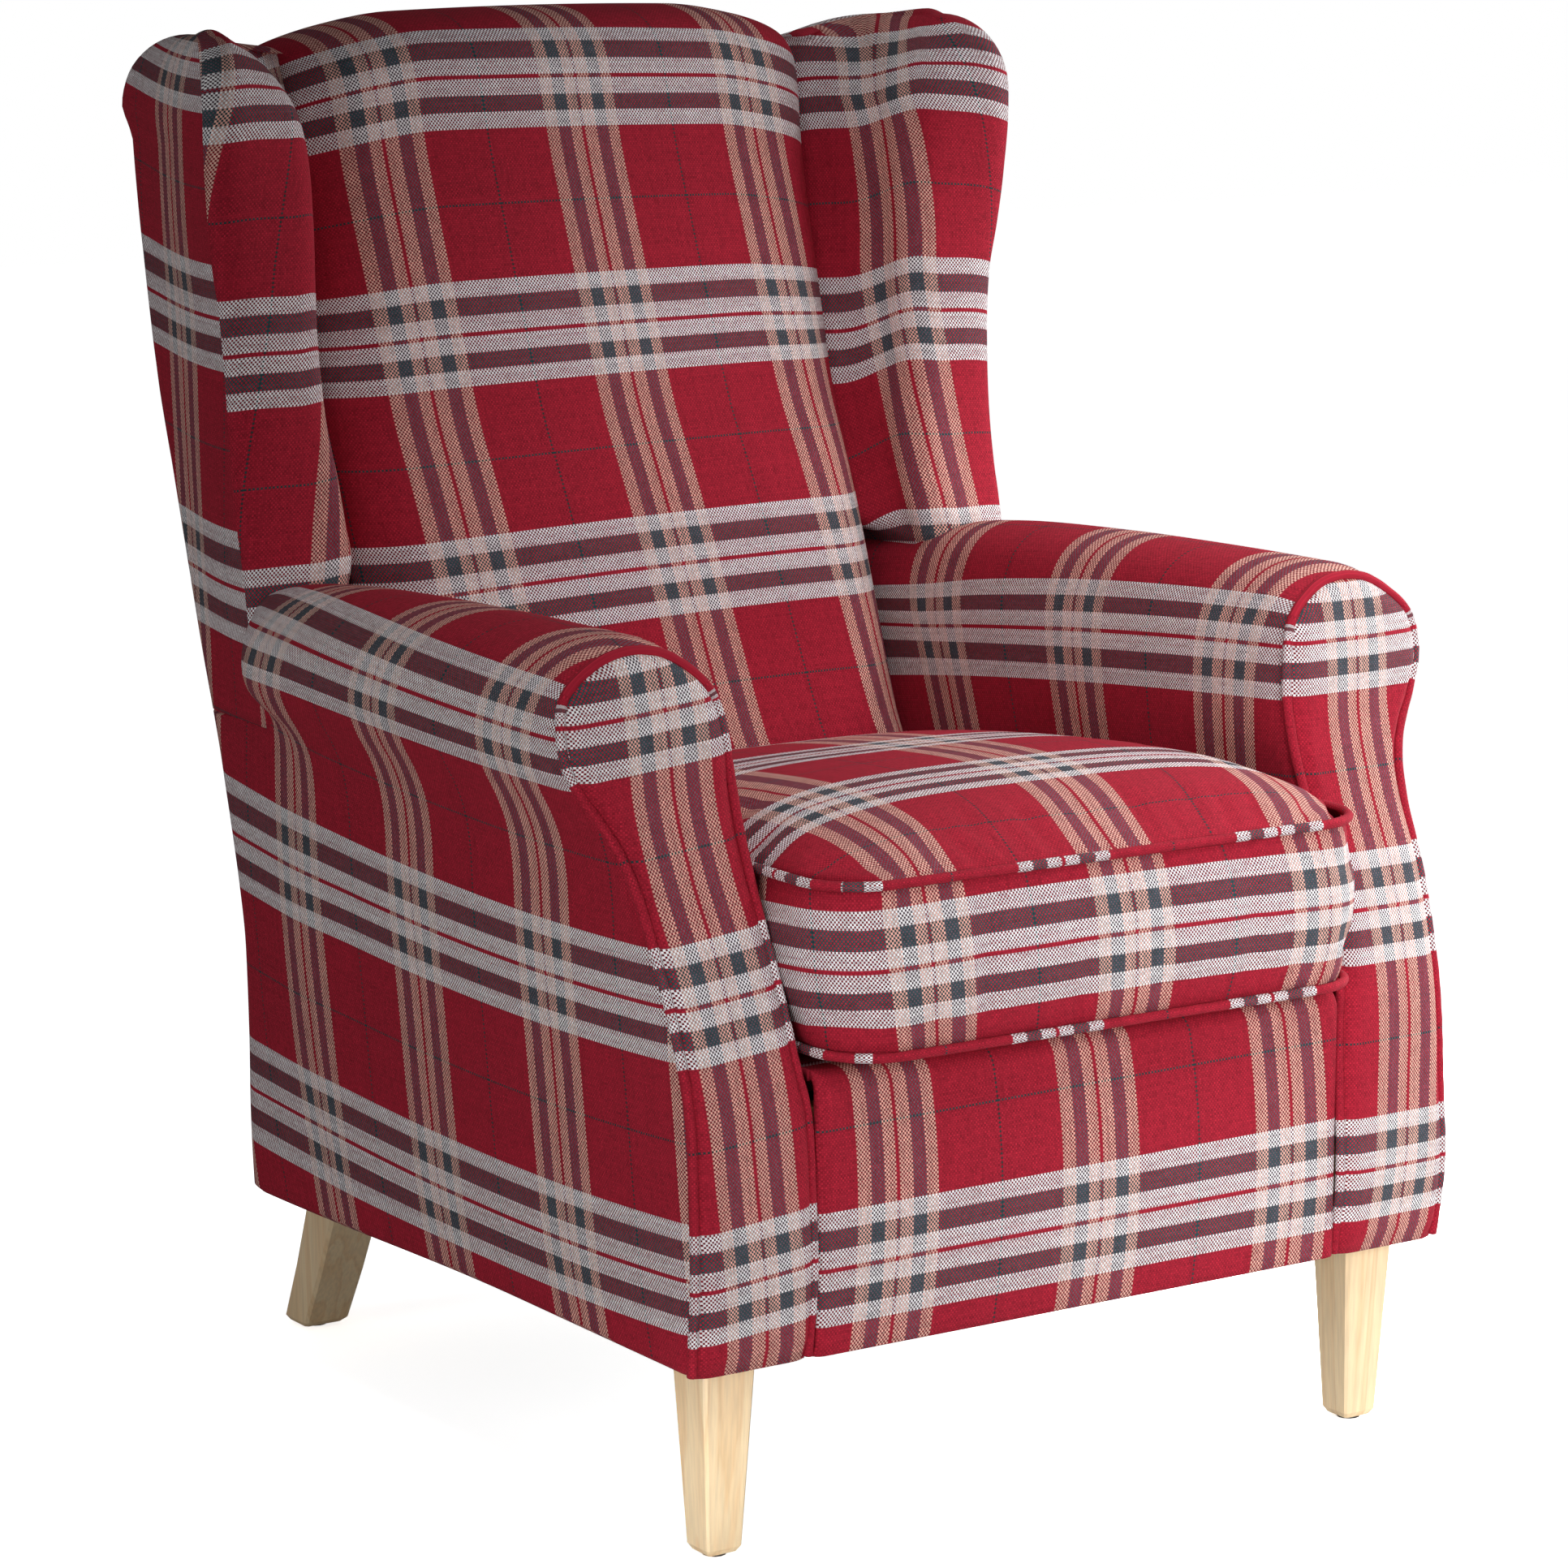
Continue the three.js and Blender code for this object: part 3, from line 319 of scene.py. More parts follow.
# How the tartan lies on each panel, from edges of its bands read in the photo. For each panel, first
# for the bands that run up and then for those that run across: how many terms its lay has, and for each edge
# the number of its band, its side of the band, and pixels of the photo along it. Sides are -1 and 1, with 0
# in the band's middle, and a band number between two whole ones is a line that far between two bands.
STRIPES = {
    "apron": (
        (10, [
            (-1, -1, (1048, 1350), (1059, 1400), (1060, 1450), (1062, 1600), (1045, 1650)),
            (-1, 1, (1145, 1350), (1150, 1400), (1152, 1450), (1150, 1600), (1139, 1645)),
            (0, -1, (1298, 1300), (1309, 1350), (1312, 1400), (1312, 1500), (1303, 1600)),
            (0, 1, (1389, 1300), (1398, 1350), (1400, 1400), (1400, 1500), (1392, 1600)),
            (1, -1, (1536, 1250), (1551, 1300), (1553, 1350), (1553, 1400), (1551, 1500), (1533, 1570)),
            (1, 1, (1615, 1250), (1630, 1300), (1636, 1350), (1633, 1400), (1630, 1500), (1603, 1560))]),
        (5, [
            (0, 1, (1025, 1499), (1100, 1485), (1250, 1455), (1400, 1428), (1550, 1398), (1640, 1383)),
            (0, -1, (1025, 1632), (1150, 1612), (1250, 1590), (1400, 1562), (1550, 1535), (1630, 1514)),
            (0.5, 0, (1035, 1392), (1250, 1350), (1475, 1310))])),
    "arm_left": (
        (10, [
            (1, 1, (320, 825), (323, 795), (339, 755), (325, 900), (333, 950), (342, 1010), (352, 1100),
             (355, 1150), (360, 1210), (365, 1250), (380, 1450)),
            (1, -1, (355, 825), (362, 780), (374, 750), (357, 890), (368, 950), (382, 1010), (395, 1100),
             (400, 1150), (402, 1210), (410, 1250), (430, 1450)),
            (0, 1, (485, 760), (468, 780), (457, 800), (439, 850), (437, 900), (447, 950), (459, 1000),
             (470, 1050), (482, 1100), (487, 1150), (493, 1200), (500, 1250), (515, 1450)),
            (0, -1, (553, 760), (530, 780), (517, 800), (497, 850), (490, 900), (500, 950), (510, 1000),
             (522, 1050), (530, 1100), (538, 1150), (548, 1200), (548, 1250), (565, 1450)),
            (-1, 1, (630, 815), (641, 804), (669, 782), (610, 850), (600, 870), (591, 900), (600, 950),
             (612, 1000), (625, 1050), (636, 1100), (640, 1150), (646, 1200), (660, 1350), (670, 1480)),
            (-1, -1, (675, 850), (674, 821), (702, 799), (660, 870), (655, 900), (657, 950), (677, 1000),
             (690, 1050), (700, 1100), (707, 1150), (710, 1200), (717, 1350), (725, 1480)),
            (-2, 1, (846, 1450), (846, 1550), (847, 1690))]),
        (10, [
            (0, 1, (393, 728), (439, 744), (489, 761), (500, 780), (550, 792), (600, 812), (650, 835),
             (700, 855)),
            (0, -1, (325, 840), (355, 853), (401, 871), (455, 885), (500, 905), (550, 930), (600, 955),
             (650, 972), (700, 988)),
            (-1, 1, (290, 965), (350, 1000), (400, 1032), (450, 1055), (500, 1077), (550, 1092), (600, 1107),
             (650, 1125), (700, 1137), (775, 1147)),
            (-1, -1, (298, 1093), (350, 1130), (400, 1155), (450, 1177), (500, 1200), (550, 1220),
             (600, 1235), (650, 1246), (750, 1270), (825, 1288)),
            (-2, 1, (312, 1281), (400, 1330), (500, 1378), (600, 1425), (700, 1465), (750, 1490),
             (800, 1505), (840, 1512)),
            (-2, -1, (320, 1406), (400, 1455), (500, 1500), (600, 1545), (700, 1590), (750, 1620),
             (800, 1640), (840, 1650))])),
    "arm_right": (
        (8, [
            (1, 1, (1127, 676), (1123, 731), (1134, 787), (1151, 837), (1160, 870)),
            (1, -1, (1191, 676), (1179, 731), (1179, 787), (1185, 842), (1197, 898)),
            (0, 1, (1321, 676), (1304, 703), (1291, 731), (1285, 787), (1291, 842), (1302, 898)),
            (0, -1, (1404, 676), (1377, 703), (1360, 731), (1352, 787), (1354, 842), (1363, 898)),
            (-1, 1, (1535, 695), (1516, 703), (1491, 731), (1474, 759), (1470, 787), (1470, 842),
             (1479, 898)),
            (-1, -1, (1592, 708), (1566, 731), (1554, 759), (1552, 787), (1549, 842), (1551, 898))]),
        (5, [
            (0, -1, (1193, 711), (1299, 711), (1393, 717), (1504, 726), (1585, 738)),
            (0, 1, (1193, 834), (1299, 837), (1393, 841), (1504, 852))])),
    "back_pad": (
        (10, [
            (-1, -1, (357, 29), (386, 68), (417, 175), (432, 225), (448, 329), (480, 490), (505, 565),
             (522, 660), (535, 721)),
            (-1, 1, (520, 170), (550, 350), (580, 490), (602, 571), (624, 665), (647, 743)),
            (0, -1, (640, 50), (680, 150), (715, 330), (740, 450), (768, 593), (780, 632), (805, 704),
             (819, 765), (841, 815)),
            (0, 1, (740, 50), (765, 150), (795, 330), (820, 450), (841, 560), (864, 627), (897, 743),
             (913, 804), (930, 893)),
            (1, -1, (900, 150), (925, 330), (950, 450), (985, 565), (1010, 627), (1041, 743), (1063, 838),
             (1081, 905)),
            (1, 1, (965, 150), (990, 330), (1015, 450), (1047, 571), (1069, 632), (1094, 727), (1119, 821),
             (1135, 890))]),
        (10, [
            (4, 1, (340, 71), (371, 66), (459, 58), (500, 53), (600, 47), (740, 40)),
            (4, -1, (373, 191), (409, 179), (459, 173), (550, 163), (700, 152), (960, 152)),
            (3, 1, (401, 375), (459, 364), (500, 357), (600, 347), (740, 335), (960, 325), (1010, 340)),
            (3, -1, (405, 507), (500, 485), (600, 470), (740, 458), (960, 450), (1025, 457)),
            (2, 1, (472, 685), (552, 663), (652, 649), (802, 632), (947, 620), (1047, 618)),
            (2, -1, (735, 764), (802, 754), (935, 746), (1047, 737)),
            (1, 1, (916, 933), (963, 924), (1047, 915))])),
    "cushion_boxing": (
        (3, [
            (-1, -1, (1091, 1135), (1100, 1282)),
            (-1, 1, (1191, 1135), (1194, 1282)),
            (0, -1, (1350, 1106), (1359, 1230)),
            (0, 1, (1438, 1106), (1444, 1230)),
            (1, -1, (1582, 1050), (1588, 1194)),
            (1, 1, (1656, 1050), (1659, 1194))]),
        (5, [
            (0, 1, (960, 1116), (1050, 1120), (1194, 1109), (1350, 1082), (1450, 1070), (1582, 1053),
             (1670, 1037)),
            (0, -1, (985, 1260), (1050, 1267), (1200, 1250), (1359, 1220), (1447, 1206), (1582, 1191),
             (1670, 1170))])),
    "cushion_top": (
        (6, [
            (-1, -1, (1068, 1070), (1038, 1044), (994, 1026)),
            (-1, 1, (1174, 1068), (1153, 1044), (1118, 1018), (1082, 1003)),
            (0, -1, (1339, 1046), (1312, 1020), (1276, 994), (1247, 976)),
            (0, 1, (1424, 1037), (1406, 1012), (1370, 988), (1335, 968)),
            (1, -1, (1568, 1014), (1553, 988), (1523, 959)),
            (1, 1, (1642, 1006), (1623, 988), (1594, 965))]),
        (6, [
            (0, 1, (923, 1018), (970, 991), (1047, 973), (1147, 959), (1253, 950), (1380, 937)),
            (0, -1, (965, 1053), (1018, 1026), (1100, 997), (1153, 988), (1300, 968), (1440, 947)),
            (1, 1, (930, 945), (1035, 932), (1135, 923)),
            (1, -1, (930, 965), (1018, 953), (1106, 942)),
            (-0.549, 0, (1600, 992)),
            (-0.6, 0, (1636, 1003)),
            (-0.651, 0, (1300, 1050), (1450, 1031)),
            (-0.5, 0, (1153, 1029), (1347, 997), (1488, 976))])),
    "facing_left": (
        (6, [
            (0, 1, (770, 860), (775, 960), (780, 1000), (785, 1050), (797, 1100), (815, 1150), (840, 1220),
             (875, 1330), (885, 1450), (890, 1640)),
            (0, -1, (875, 860), (877, 960), (882, 1000), (890, 1050), (905, 1100), (925, 1150), (985, 1330),
             (990, 1450), (990, 1640))]),
        (5, [
            (0, 0, (720, 895), (780, 887), (890, 873)),
            (0, -1, (720, 966), (780, 960), (895, 945)),
            (-1, 1, (805, 1170), (900, 1150), (935, 1146)),
            (-1, -1, (838, 1308), (900, 1300), (955, 1290)),
            (-2, 1, (858, 1518), (930, 1507), (1000, 1497)),
            (-2, -1, (860, 1662), (930, 1650), (1005, 1631))])),
    "facing_right": (
        (6, [
            (0, -1, (1627, 787), (1635, 870), (1654, 953), (1666, 1009), (1695, 1300), (1686, 1500)),
            (0, 1, (1708, 787), (1714, 870), (1724, 953), (1729, 1009), (1768, 1300), (1762, 1500))]),
        (5, [
            (0, 0, (1605, 793), (1671, 787), (1740, 781)),
            (0, -1, (1605, 862), (1671, 856), (1738, 849)),
            (-1, 1, (1690, 1047), (1740, 1039)),
            (-1, -1, (1695, 1181), (1760, 1169)),
            (-2, 1, (1670, 1377), (1765, 1364)),
            (-2, -1, (1655, 1511), (1760, 1493))])),
    "wing_front_left": (
        (8, [
            (0, -1, (391, 330), (391, 375), (392, 503), (389, 550), (387, 601), (387, 650), (385, 700)),
            (-1, 1, (266, 179), (268, 202), (270, 241)),
            (-0.5, 0, (350, 275), (340, 337), (328, 414), (318, 475), (305, 555))]),
        (8, [
            (4, 1, (240, 81), (267, 62), (294, 52)),
            (4, -1, (263, 173), (313, 170), (362, 168)),
            (3, 1, (278, 372), (332, 373), (392, 364)),
            (3, -1, (290, 508), (343, 503), (399, 500)),
            (2, 1, (304, 711), (343, 696), (385, 690), (432, 686))])),
    "wing_front_right": (
        (8, [
            (0, 1, (1037, 125), (1042, 150), (1055, 225), (1065, 300), (1072, 375), (1082, 460), (1097, 550),
             (1110, 620)),
            (0, -1, (1125, 125), (1127, 150), (1140, 225), (1152, 300), (1160, 375), (1175, 460),
             (1192, 550), (1208, 615)),
            (-0.5, 0, (1210, 100), (1215, 225))]),
        (8, [
            (4, 1, (1000, 54), (1030, 42), (1100, 32), (1150, 30), (1200, 37)),
            (4, -1, (1005, 168), (1035, 155), (1100, 142), (1150, 137), (1200, 141), (1238, 149)),
            (3, 1, (1035, 343), (1060, 332), (1110, 322), (1170, 320), (1215, 326)),
            (3, -1, (1050, 463), (1100, 450), (1160, 444), (1212, 446)),
            (2, 1, (1085, 643), (1110, 635), (1160, 625), (1210, 619))])),
    "wing_outer_left": (
        (6, [
            (0, 1, (188, 106), (194, 164), (200, 241), (203, 302), (209, 395), (210, 478), (216, 548)),
            (0, -1, (225, 125), (228, 183), (232, 279), (236, 356), (239, 452), (241, 502), (247, 602),
             (252, 671), (260, 767))]),
        (8, [
            (4, 0.03, (190, 62), (232, 83)),
            (4, -1, (160, 100), (186, 114), (205, 125), (240, 130)),
            (3, 1, (182, 291), (217, 318), (256, 323)),
            (3, -1, (196, 427), (236, 452), (276, 458)),
            (2, 1, (231, 626), (262, 650), (291, 656)),
            (2, -1, (256, 769), (285, 788), (298, 794))])),
}
CORD_PLACE = 0.062
# lays that the photo doesn't settle, or that are a plain shift
LAYS = {"cord_top": ((CORD_PLACE,), (0.013,)), "cord_bottom": ((CORD_PLACE,), (0.029,)),
        "cushion_under": ((-0.02,), (0.1,))}
# how firmly a lay keeps straight, and how large each of its terms gets over a panel
STIFFNESS = 0.002
TERM_SIZES = (1, .4, .4, .16, .16, .16, .064, .064, .064, .064)


def pixel_ray(pixel):
    """Direction from the camera through a pixel of the photo."""
    turn, tilt = math.radians(CAMERA_TURN), math.radians(CAMERA_TILT)
    away = np.array([-math.sin(turn) * math.cos(tilt), math.cos(turn) * math.cos(tilt), -math.sin(tilt)])
    right = np.array([math.cos(turn), math.sin(turn), 0])
    x, y = (np.array(pixel) / PHOTO_SIDE - 0.5) * SENSOR / CAMERA_LENS
    return away + x * right - y * np.cross(right, away)


def lay_of(panel, a, b, points):
    """Polynomials in a panel's own places that bring its cloth's bands to the edges read in the photo."""
    flat = points.reshape(-1, 3)
    own = np.stack([a, b, np.zeros_like(a)], -1).reshape(-1, 3)
    corner = np.arange(len(flat)).reshape(points.shape[:2])
    quads = np.stack([corner[:-1, :-1], corner[:-1, 1:], corner[1:, 1:], corner[1:, :-1]], -1).reshape(-1, 4)
    triangles = np.concatenate([quads[:, [0, 1, 2]], quads[:, [0, 2, 3]]])
    tree = BVHTree.FromPolygons(flat.tolist(), triangles.tolist())
    lay = []
    for way, (count, edges) in enumerate(STRIPES[panel]):
        repeat, width = ((WARP_REPEAT, WARP_WIDTH), (WEFT_REPEAT, WEFT_WIDTH))[way]
        rows, wanted = [], []
        for band, side, *pixels in edges:
            for pixel in pixels:
                hit, _, face, _ = tree.ray_cast(CAMERA_PLACE, pixel_ray(pixel).tolist())
                if hit is None:
                    continue
                ring = triangles[face]
                place = barycentric_transform(hit, *flat[ring].tolist(), *own[ring].tolist())
                rows.append(terms(place[0], place[1])[:count])
                wanted.append(band * repeat + side * width / 2 - place[way] * MM)
        rows = np.array(rows)
        # a light pull towards a straight lay, more on the higher powers
        pull = np.diag((STIFFNESS / np.array(TERM_SIZES[:count])) ** 2)
        pull[0, 0] = 0
        lay.append(np.linalg.solve(rows.T @ rows + pull, rows.T @ np.array(wanted)))
    return lay


def cloth_of(panel, a, b, points):
    """Cloth place (u, v) in metres of a panel with own places a, b in mm."""
    a, b = np.broadcast_arrays(np.asarray(a, float), np.asarray(b, float))
    if panel in STRIPES and panel not in LAYS:
        LAYS[panel] = lay_of(panel, a, b, points)
    across, along = LAYS.get(panel, ((0.0,), (0.0,)))
    powers = terms(a, b)
    u = a * MM + powers[..., :len(across)] @ np.array(across)
    v = b * MM + powers[..., :len(along)] @ np.array(along)
    return np.stack([u, v], -1)


def solidify(piece, thickness):
    mod = piece.modifiers.new("thickness", "SOLIDIFY")
    mod.thickness = thickness * MM
    mod.offset = -1
    mod.use_even_offset = False
    return piece


def finish_piece(piece, material, slot, body, *nodes, smooth_levels=0):
    piece.data.materials.append(material)
    if smooth_levels:
        mod = piece.modifiers.new("smooth", "SUBSURF")
        mod.levels = mod.render_levels = smooth_levels
    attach(piece, body)
    if nodes:
        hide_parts(*nodes)
    return piece


# Materials
def ramp_stops(stripes, ground, total, line, line_width):
    """Stops of one repeat: a band of stripes at the start, and one thin line halfway through the ground."""
    place, stops = 0.0, []
    for width, colour in stripes:
        stops.append((place / total, colour))
        place += width
    middle = (place + total) / 2
    stops += [(place / total, ground), ((middle - line_width / 2) / total, line),
              ((middle + line_width / 2) / total, ground)]
    return stops


def srgb(r, g, b):
    def one(c):
        c /= 255
        return c / 12.92 if c <= 0.04045 else ((c + 0.055) / 1.055) ** 2.4
    return (one(r), one(g), one(b), 1.0)


class Tree:
    """Short way to write the nodes of a material or a world."""

    def __init__(self, owner):
        owner.use_nodes = True
        self.owner = owner
        self.nodes = owner.node_tree.nodes
        self.links = owner.node_tree.links

    def feed(self, socket, value):
        if isinstance(value, bpy.types.NodeSocket):
            self.links.new(value, socket)
        else:
            socket.default_value = value

    def put(self, kind, inputs=None, **settings):
        node = self.nodes.new(kind)
        for key, value in settings.items():
            setattr(node, key, value)
        for key, value in (inputs or {}).items():
            self.feed(node.inputs[key], value)
        return node

    def math(self, operation, a, b=0.0, c=0.0):
        return self.put("ShaderNodeMath", {0: a, 1: b, 2: c}, operation=operation).outputs[0]

    def mix(self, factor, a, b, blend="MIX"):
        inputs = {0: factor, 6: a, 7: b}
        return self.put("ShaderNodeMix", inputs, data_type="RGBA", blend_type=blend).outputs[2]

    def noise(self, place, scale, detail, **more):
        inputs = {"Vector": place, "Scale": scale, "Detail": detail, **more}
        return self.put("ShaderNodeTexNoise", inputs).outputs[0]

    def stretched(self, place, scale):
        return self.put("ShaderNodeMapping", {"Vector": place, "Scale": scale}).outputs[0]

    def brightness(self, colour):
        return self.put("ShaderNodeRGBToBW", {0: colour}).outputs[0]

    def dimmed(self, colour, grey):
        """A colour times a grey between 0 and 1."""
        tint = self.put("ShaderNodeCombineColor", {0: grey, 1: grey, 2: grey}).outputs[0]
        return self.mix(1.0, colour, tint, "MULTIPLY")

    def bump(self, height, strength, distance):
        inputs = {"Height": height, "Strength": strength, "Distance": distance}
        return self.put("ShaderNodeBump", inputs).outputs[0]

    def ramp(self, factor, stops, interpolation="LINEAR"):
        node = self.nodes.new("ShaderNodeValToRGB")
        self.links.new(factor, node.inputs[0])
        band = node.color_ramp
        band.interpolation = interpolation
        while len(band.elements) > 1:
            band.elements.remove(band.elements[-1])
        band.elements[0].position, band.elements[0].color = stops[0]
        for place, colour in stops[1:]:
            band.elements.new(place).color = colour
        return node.outputs[0]

    def settle(self, **sockets):
        shader = self.nodes["Principled BSDF"]
        for key, value in sockets.items():
            self.feed(shader.inputs[key.replace("_", " ")], value)
        return self.owner


WARP_RED, WEFT_RED = srgb(178, 33, 54), srgb(154, 27, 46)
CREAM, NAVY = srgb(232, 180, 166), srgb(112, 86, 98)
WHITE, MAROON = srgb(245, 241, 243), srgb(48, 78, 83)
TEAL = srgb(38, 62, 66)
# shares of a thread's brightness: even part, its own shade, slubs, streaks along it and flecks
BASE_GREY, THREAD_GREY, SLUB_GREY, STREAK_GREY, FLECK_GREY = 0.27, 0.22, 0.36, 0.64, 0.34
# a red below the first value and a brightness below the second tell slate threads, which look thicker
SLATE_RED, SLATE_DARK, SLATE_SHARE, PALE_SHARE = 0.1, 0.25, 0.2, 0.17
# where the gap between crossings starts and ends, the painted shade in that gap, the extra painted shade
# beside a bright thread, and the painted shade on a sunk dark thread
GAP_START, GAP_END, GAP_PAINTED_SHADE, PALE_GAP_PAINTED_SHADE, SUNK_PAINTED_SHADE = 0.35, 1.5, 0.28, 0.08, -0.75


def band_of(pale, pale_width, dark, dark_width, red):
    """Stripes of a band: two dark stripes between pale ones on either side of a thin red one."""
    half = [(pale_width, pale), (dark_width, dark), (pale_width, pale)]
    return half + [(RED_STRIPE, red)] + half


def tartan(name):
    t = Tree(bpy.data.materials.new(name))
    place = t.put("ShaderNodeUVMap", uv_map="cloth").outputs[0]
    split = t.put("ShaderNodeSeparateXYZ", {0: place})
    slub = t.noise(t.stretched(place, (260.0, 260.0, 1.0)), 1.0, 3.0)

    def threads(length, repeat):
        """Number of the thread at a length, the place across it from -0.5 to 0.5, and its wave."""
        run = t.math("DIVIDE", length, repeat / YARNS)
        number = t.math("FLOOR", run)
        wave = t.math("SINE", t.math("MULTIPLY", run, math.pi))
        return number, t.math("SUBTRACT", t.math("FRACT", run), 0.5), wave

    def stripes(number, width, repeat, band, ground):
        # thread 0 lies in the middle of a band
        start = (width / 2 + 40 * repeat) / repeat + 0.5 / YARNS
        share = t.math("FRACT", t.math("MULTIPLY_ADD", number, 1 / YARNS, start))
        return t.ramp(share, ramp_stops(band, ground, repeat / MM, TEAL, TEAL_LINE), "CONSTANT")

    warp_number, warp_off, warp_wave = threads(split.outputs[0], WARP_REPEAT)
    weft_number, weft_off, weft_wave = threads(split.outputs[1], WEFT_REPEAT)
    warp_band = band_of(CREAM, CREAM_STRIPE, NAVY, NAVY_STRIPE, WARP_RED)
    weft_band = band_of(WHITE, WHITE_STRIPE, MAROON, MAROON_STRIPE, WEFT_RED)
    warp = stripes(warp_number, WARP_WIDTH, WARP_REPEAT, warp_band, WARP_RED)
    weft = stripes(weft_number, WEFT_WIDTH, WEFT_REPEAT, weft_band, WEFT_RED)

    # each thread has its own shade, and each crossing its own
    crossing = t.put("ShaderNodeCombineXYZ", {0: warp_number, 1: weft_number}).outputs[0]
    fleck = t.put("ShaderNodeTexWhiteNoise", {"Vector": crossing}, noise_dimensions="2D").outputs["Value"]

    def shaded(colour, number, length):
        shade = t.put("ShaderNodeTexWhiteNoise", {"W": number}, noise_dimensions="1D").outputs["Value"]
        run = {0: t.math("MULTIPLY", number, 0.61), 1: t.math("MULTIPLY", length, 55.0)}
        streak = t.noise(t.put("ShaderNodeCombineXYZ", run).outputs[0], 1.0, 2.0)
        grey = t.math("MULTIPLY_ADD", shade, THREAD_GREY, BASE_GREY)
        for look, share in ((slub, SLUB_GREY), (streak, STREAK_GREY), (fleck, FLECK_GREY)):
            grey = t.math("MULTIPLY_ADD", look, share, grey)
        return t.dimmed(colour, grey)

    warp = shaded(warp, warp_number, split.outputs[1])
    weft = shaded(weft, weft_number, split.outputs[0])
    # plain weave: warp and weft lie on top by turns, and a pale thread looks thicker than a dark one
    warp_grey = t.brightness(warp)
    pale = t.math("SUBTRACT", t.brightness(weft), warp_grey)
    # and a slate thread thicker than a red one
    weft_red = t.put("ShaderNodeSeparateColor", {0: weft}).outputs[0]
    slate = t.math("LESS_THAN", weft_red, SLATE_RED)
    slate = t.math("MULTIPLY", slate, t.math("LESS_THAN", warp_grey, SLATE_DARK))
    thicker = t.math("MULTIPLY_ADD", slate, SLATE_SHARE, t.math("MULTIPLY", pale, PALE_SHARE))
    over = t.math("GREATER_THAN", t.math("MULTIPLY", warp_wave, weft_wave), thicker)
    colour = t.mix(over, weft, warp)
    below, above = t.brightness(t.mix(over, warp, weft)), t.brightness(colour)
    # painted shade: a dark thread between pale ones, which lies deeper, is darkened, and the corners between
    # the crossings are darkened, more so beside pale threads
    squares = t.math("ADD", t.math("MULTIPLY", warp_off, warp_off), t.math("MULTIPLY", weft_off, weft_off))
    limits = {"Value": t.math("MULTIPLY", squares, 4.0), "From Min": GAP_START, "From Max": GAP_END,
              "To Min": 0.0, "To Max": 1.0}
    gap = t.put("ShaderNodeMapRange", limits, interpolation_type="SMOOTHSTEP").outputs[0]
    depth = t.math("MULTIPLY_ADD", t.math("MAXIMUM", below, above), PALE_GAP_PAINTED_SHADE, GAP_PAINTED_SHADE)
    # share of the colour left after the painted shade in the gaps
    keep = t.math("SUBTRACT", 1.0, t.math("MULTIPLY", gap, depth))
    # painted shade on a dark thread that lies sunk between pale ones
    sunk_shade_mask = t.math("MAXIMUM", t.math("SUBTRACT", below, above), 0.0)
    keep = t.math("MULTIPLY", keep, t.math("MULTIPLY_ADD", sunk_shade_mask, SUNK_PAINTED_SHADE, 1.0))
    height = t.math("MULTIPLY_ADD", slub, 0.4, t.math("SUBTRACT", 1.0, gap))
    return t.settle(Base_Color=t.dimmed(colour, keep), Roughness=0.9, Specular_IOR_Level=0.2,
                    Normal=t.bump(height, 0.45, 0.0005))


def wood(name, light, dark, scale, rough, axis=2):
    """Lacquered or sawn wood with its grain along an axis."""
    t = Tree(bpy.data.materials.new(name))
    place = t.put("ShaderNodeTexCoord").outputs["Object"]
    grain, fine = [26.0 * scale] * 3, [420.0] * 3
    grain[axis], fine[axis] = 1.4 * scale, 24.0
    rings = t.noise(t.stretched(place, tuple(grain)), 1.0, 4.0, Distortion=0.6)
    rings = t.math("FRACT", t.math("MULTIPLY", rings, 5.0))
    fibre = t.noise(t.stretched(place, tuple(fine)), 1.0, 2.0)
    colour = t.ramp(rings, [(0.0, light), (0.55, lerp_colour(light, dark, .35)), (0.85, dark), (1.0, light)])
    flecks = t.ramp(fibre, [(0.35, (0.8, 0.8, 0.8, 1)), (0.6, (1, 1, 1, 1))])
    colour = t.mix(0.5, colour, flecks, "MULTIPLY")
    return t.settle(Base_Color=colour, Roughness=rough, Normal=t.bump(fibre, 0.2, 0.0003),
                    Coat_Weight=0.15, Coat_Roughness=0.25)


def lerp_colour(a, b, t):
    return tuple(a[i] + (b[i] - a[i]) * t for i in range(3)) + (1.0,)


def plain(name, colour, other, scale, rough, bump_depth, stretch=(1, 1, 1), metallic=0.0):
    """Two close colours mixed by noise, for steel, plastic and felted cloth."""
    t = Tree(bpy.data.materials.new(name))
    place = t.put("ShaderNodeTexCoord").outputs["Object"]
    noise = t.noise(t.stretched(place, stretch), scale, 4.0)
    shade = t.ramp(noise, [(0.35, colour), (0.65, other)])
    return t.settle(Base_Color=shade, Roughness=rough, Metallic=metallic,
                    Normal=t.bump(noise, 0.4, bump_depth))


def woven(name, colour, other, pitch):
    """Plain weave laid on by object places, for straps and the deck's cloth."""
    t = Tree(bpy.data.materials.new(name))
    place = t.put("ShaderNodeTexCoord").outputs["Object"]
    over = t.put("ShaderNodeTexChecker",
                 {"Vector": place, "Color1": colour, "Color2": other, "Scale": 1 / pitch})
    grey = t.ramp(t.noise(place, 300.0, 3.0), [(0.3, (0.75, 0.75, 0.75, 1)), (0.7, (1, 1, 1, 1))])
    shade = t.mix(1.0, over.outputs["Color"], grey, "MULTIPLY")
    return t.settle(Base_Color=shade, Roughness=0.9, Normal=t.bump(over.outputs["Fac"], 0.5, 0.0004))


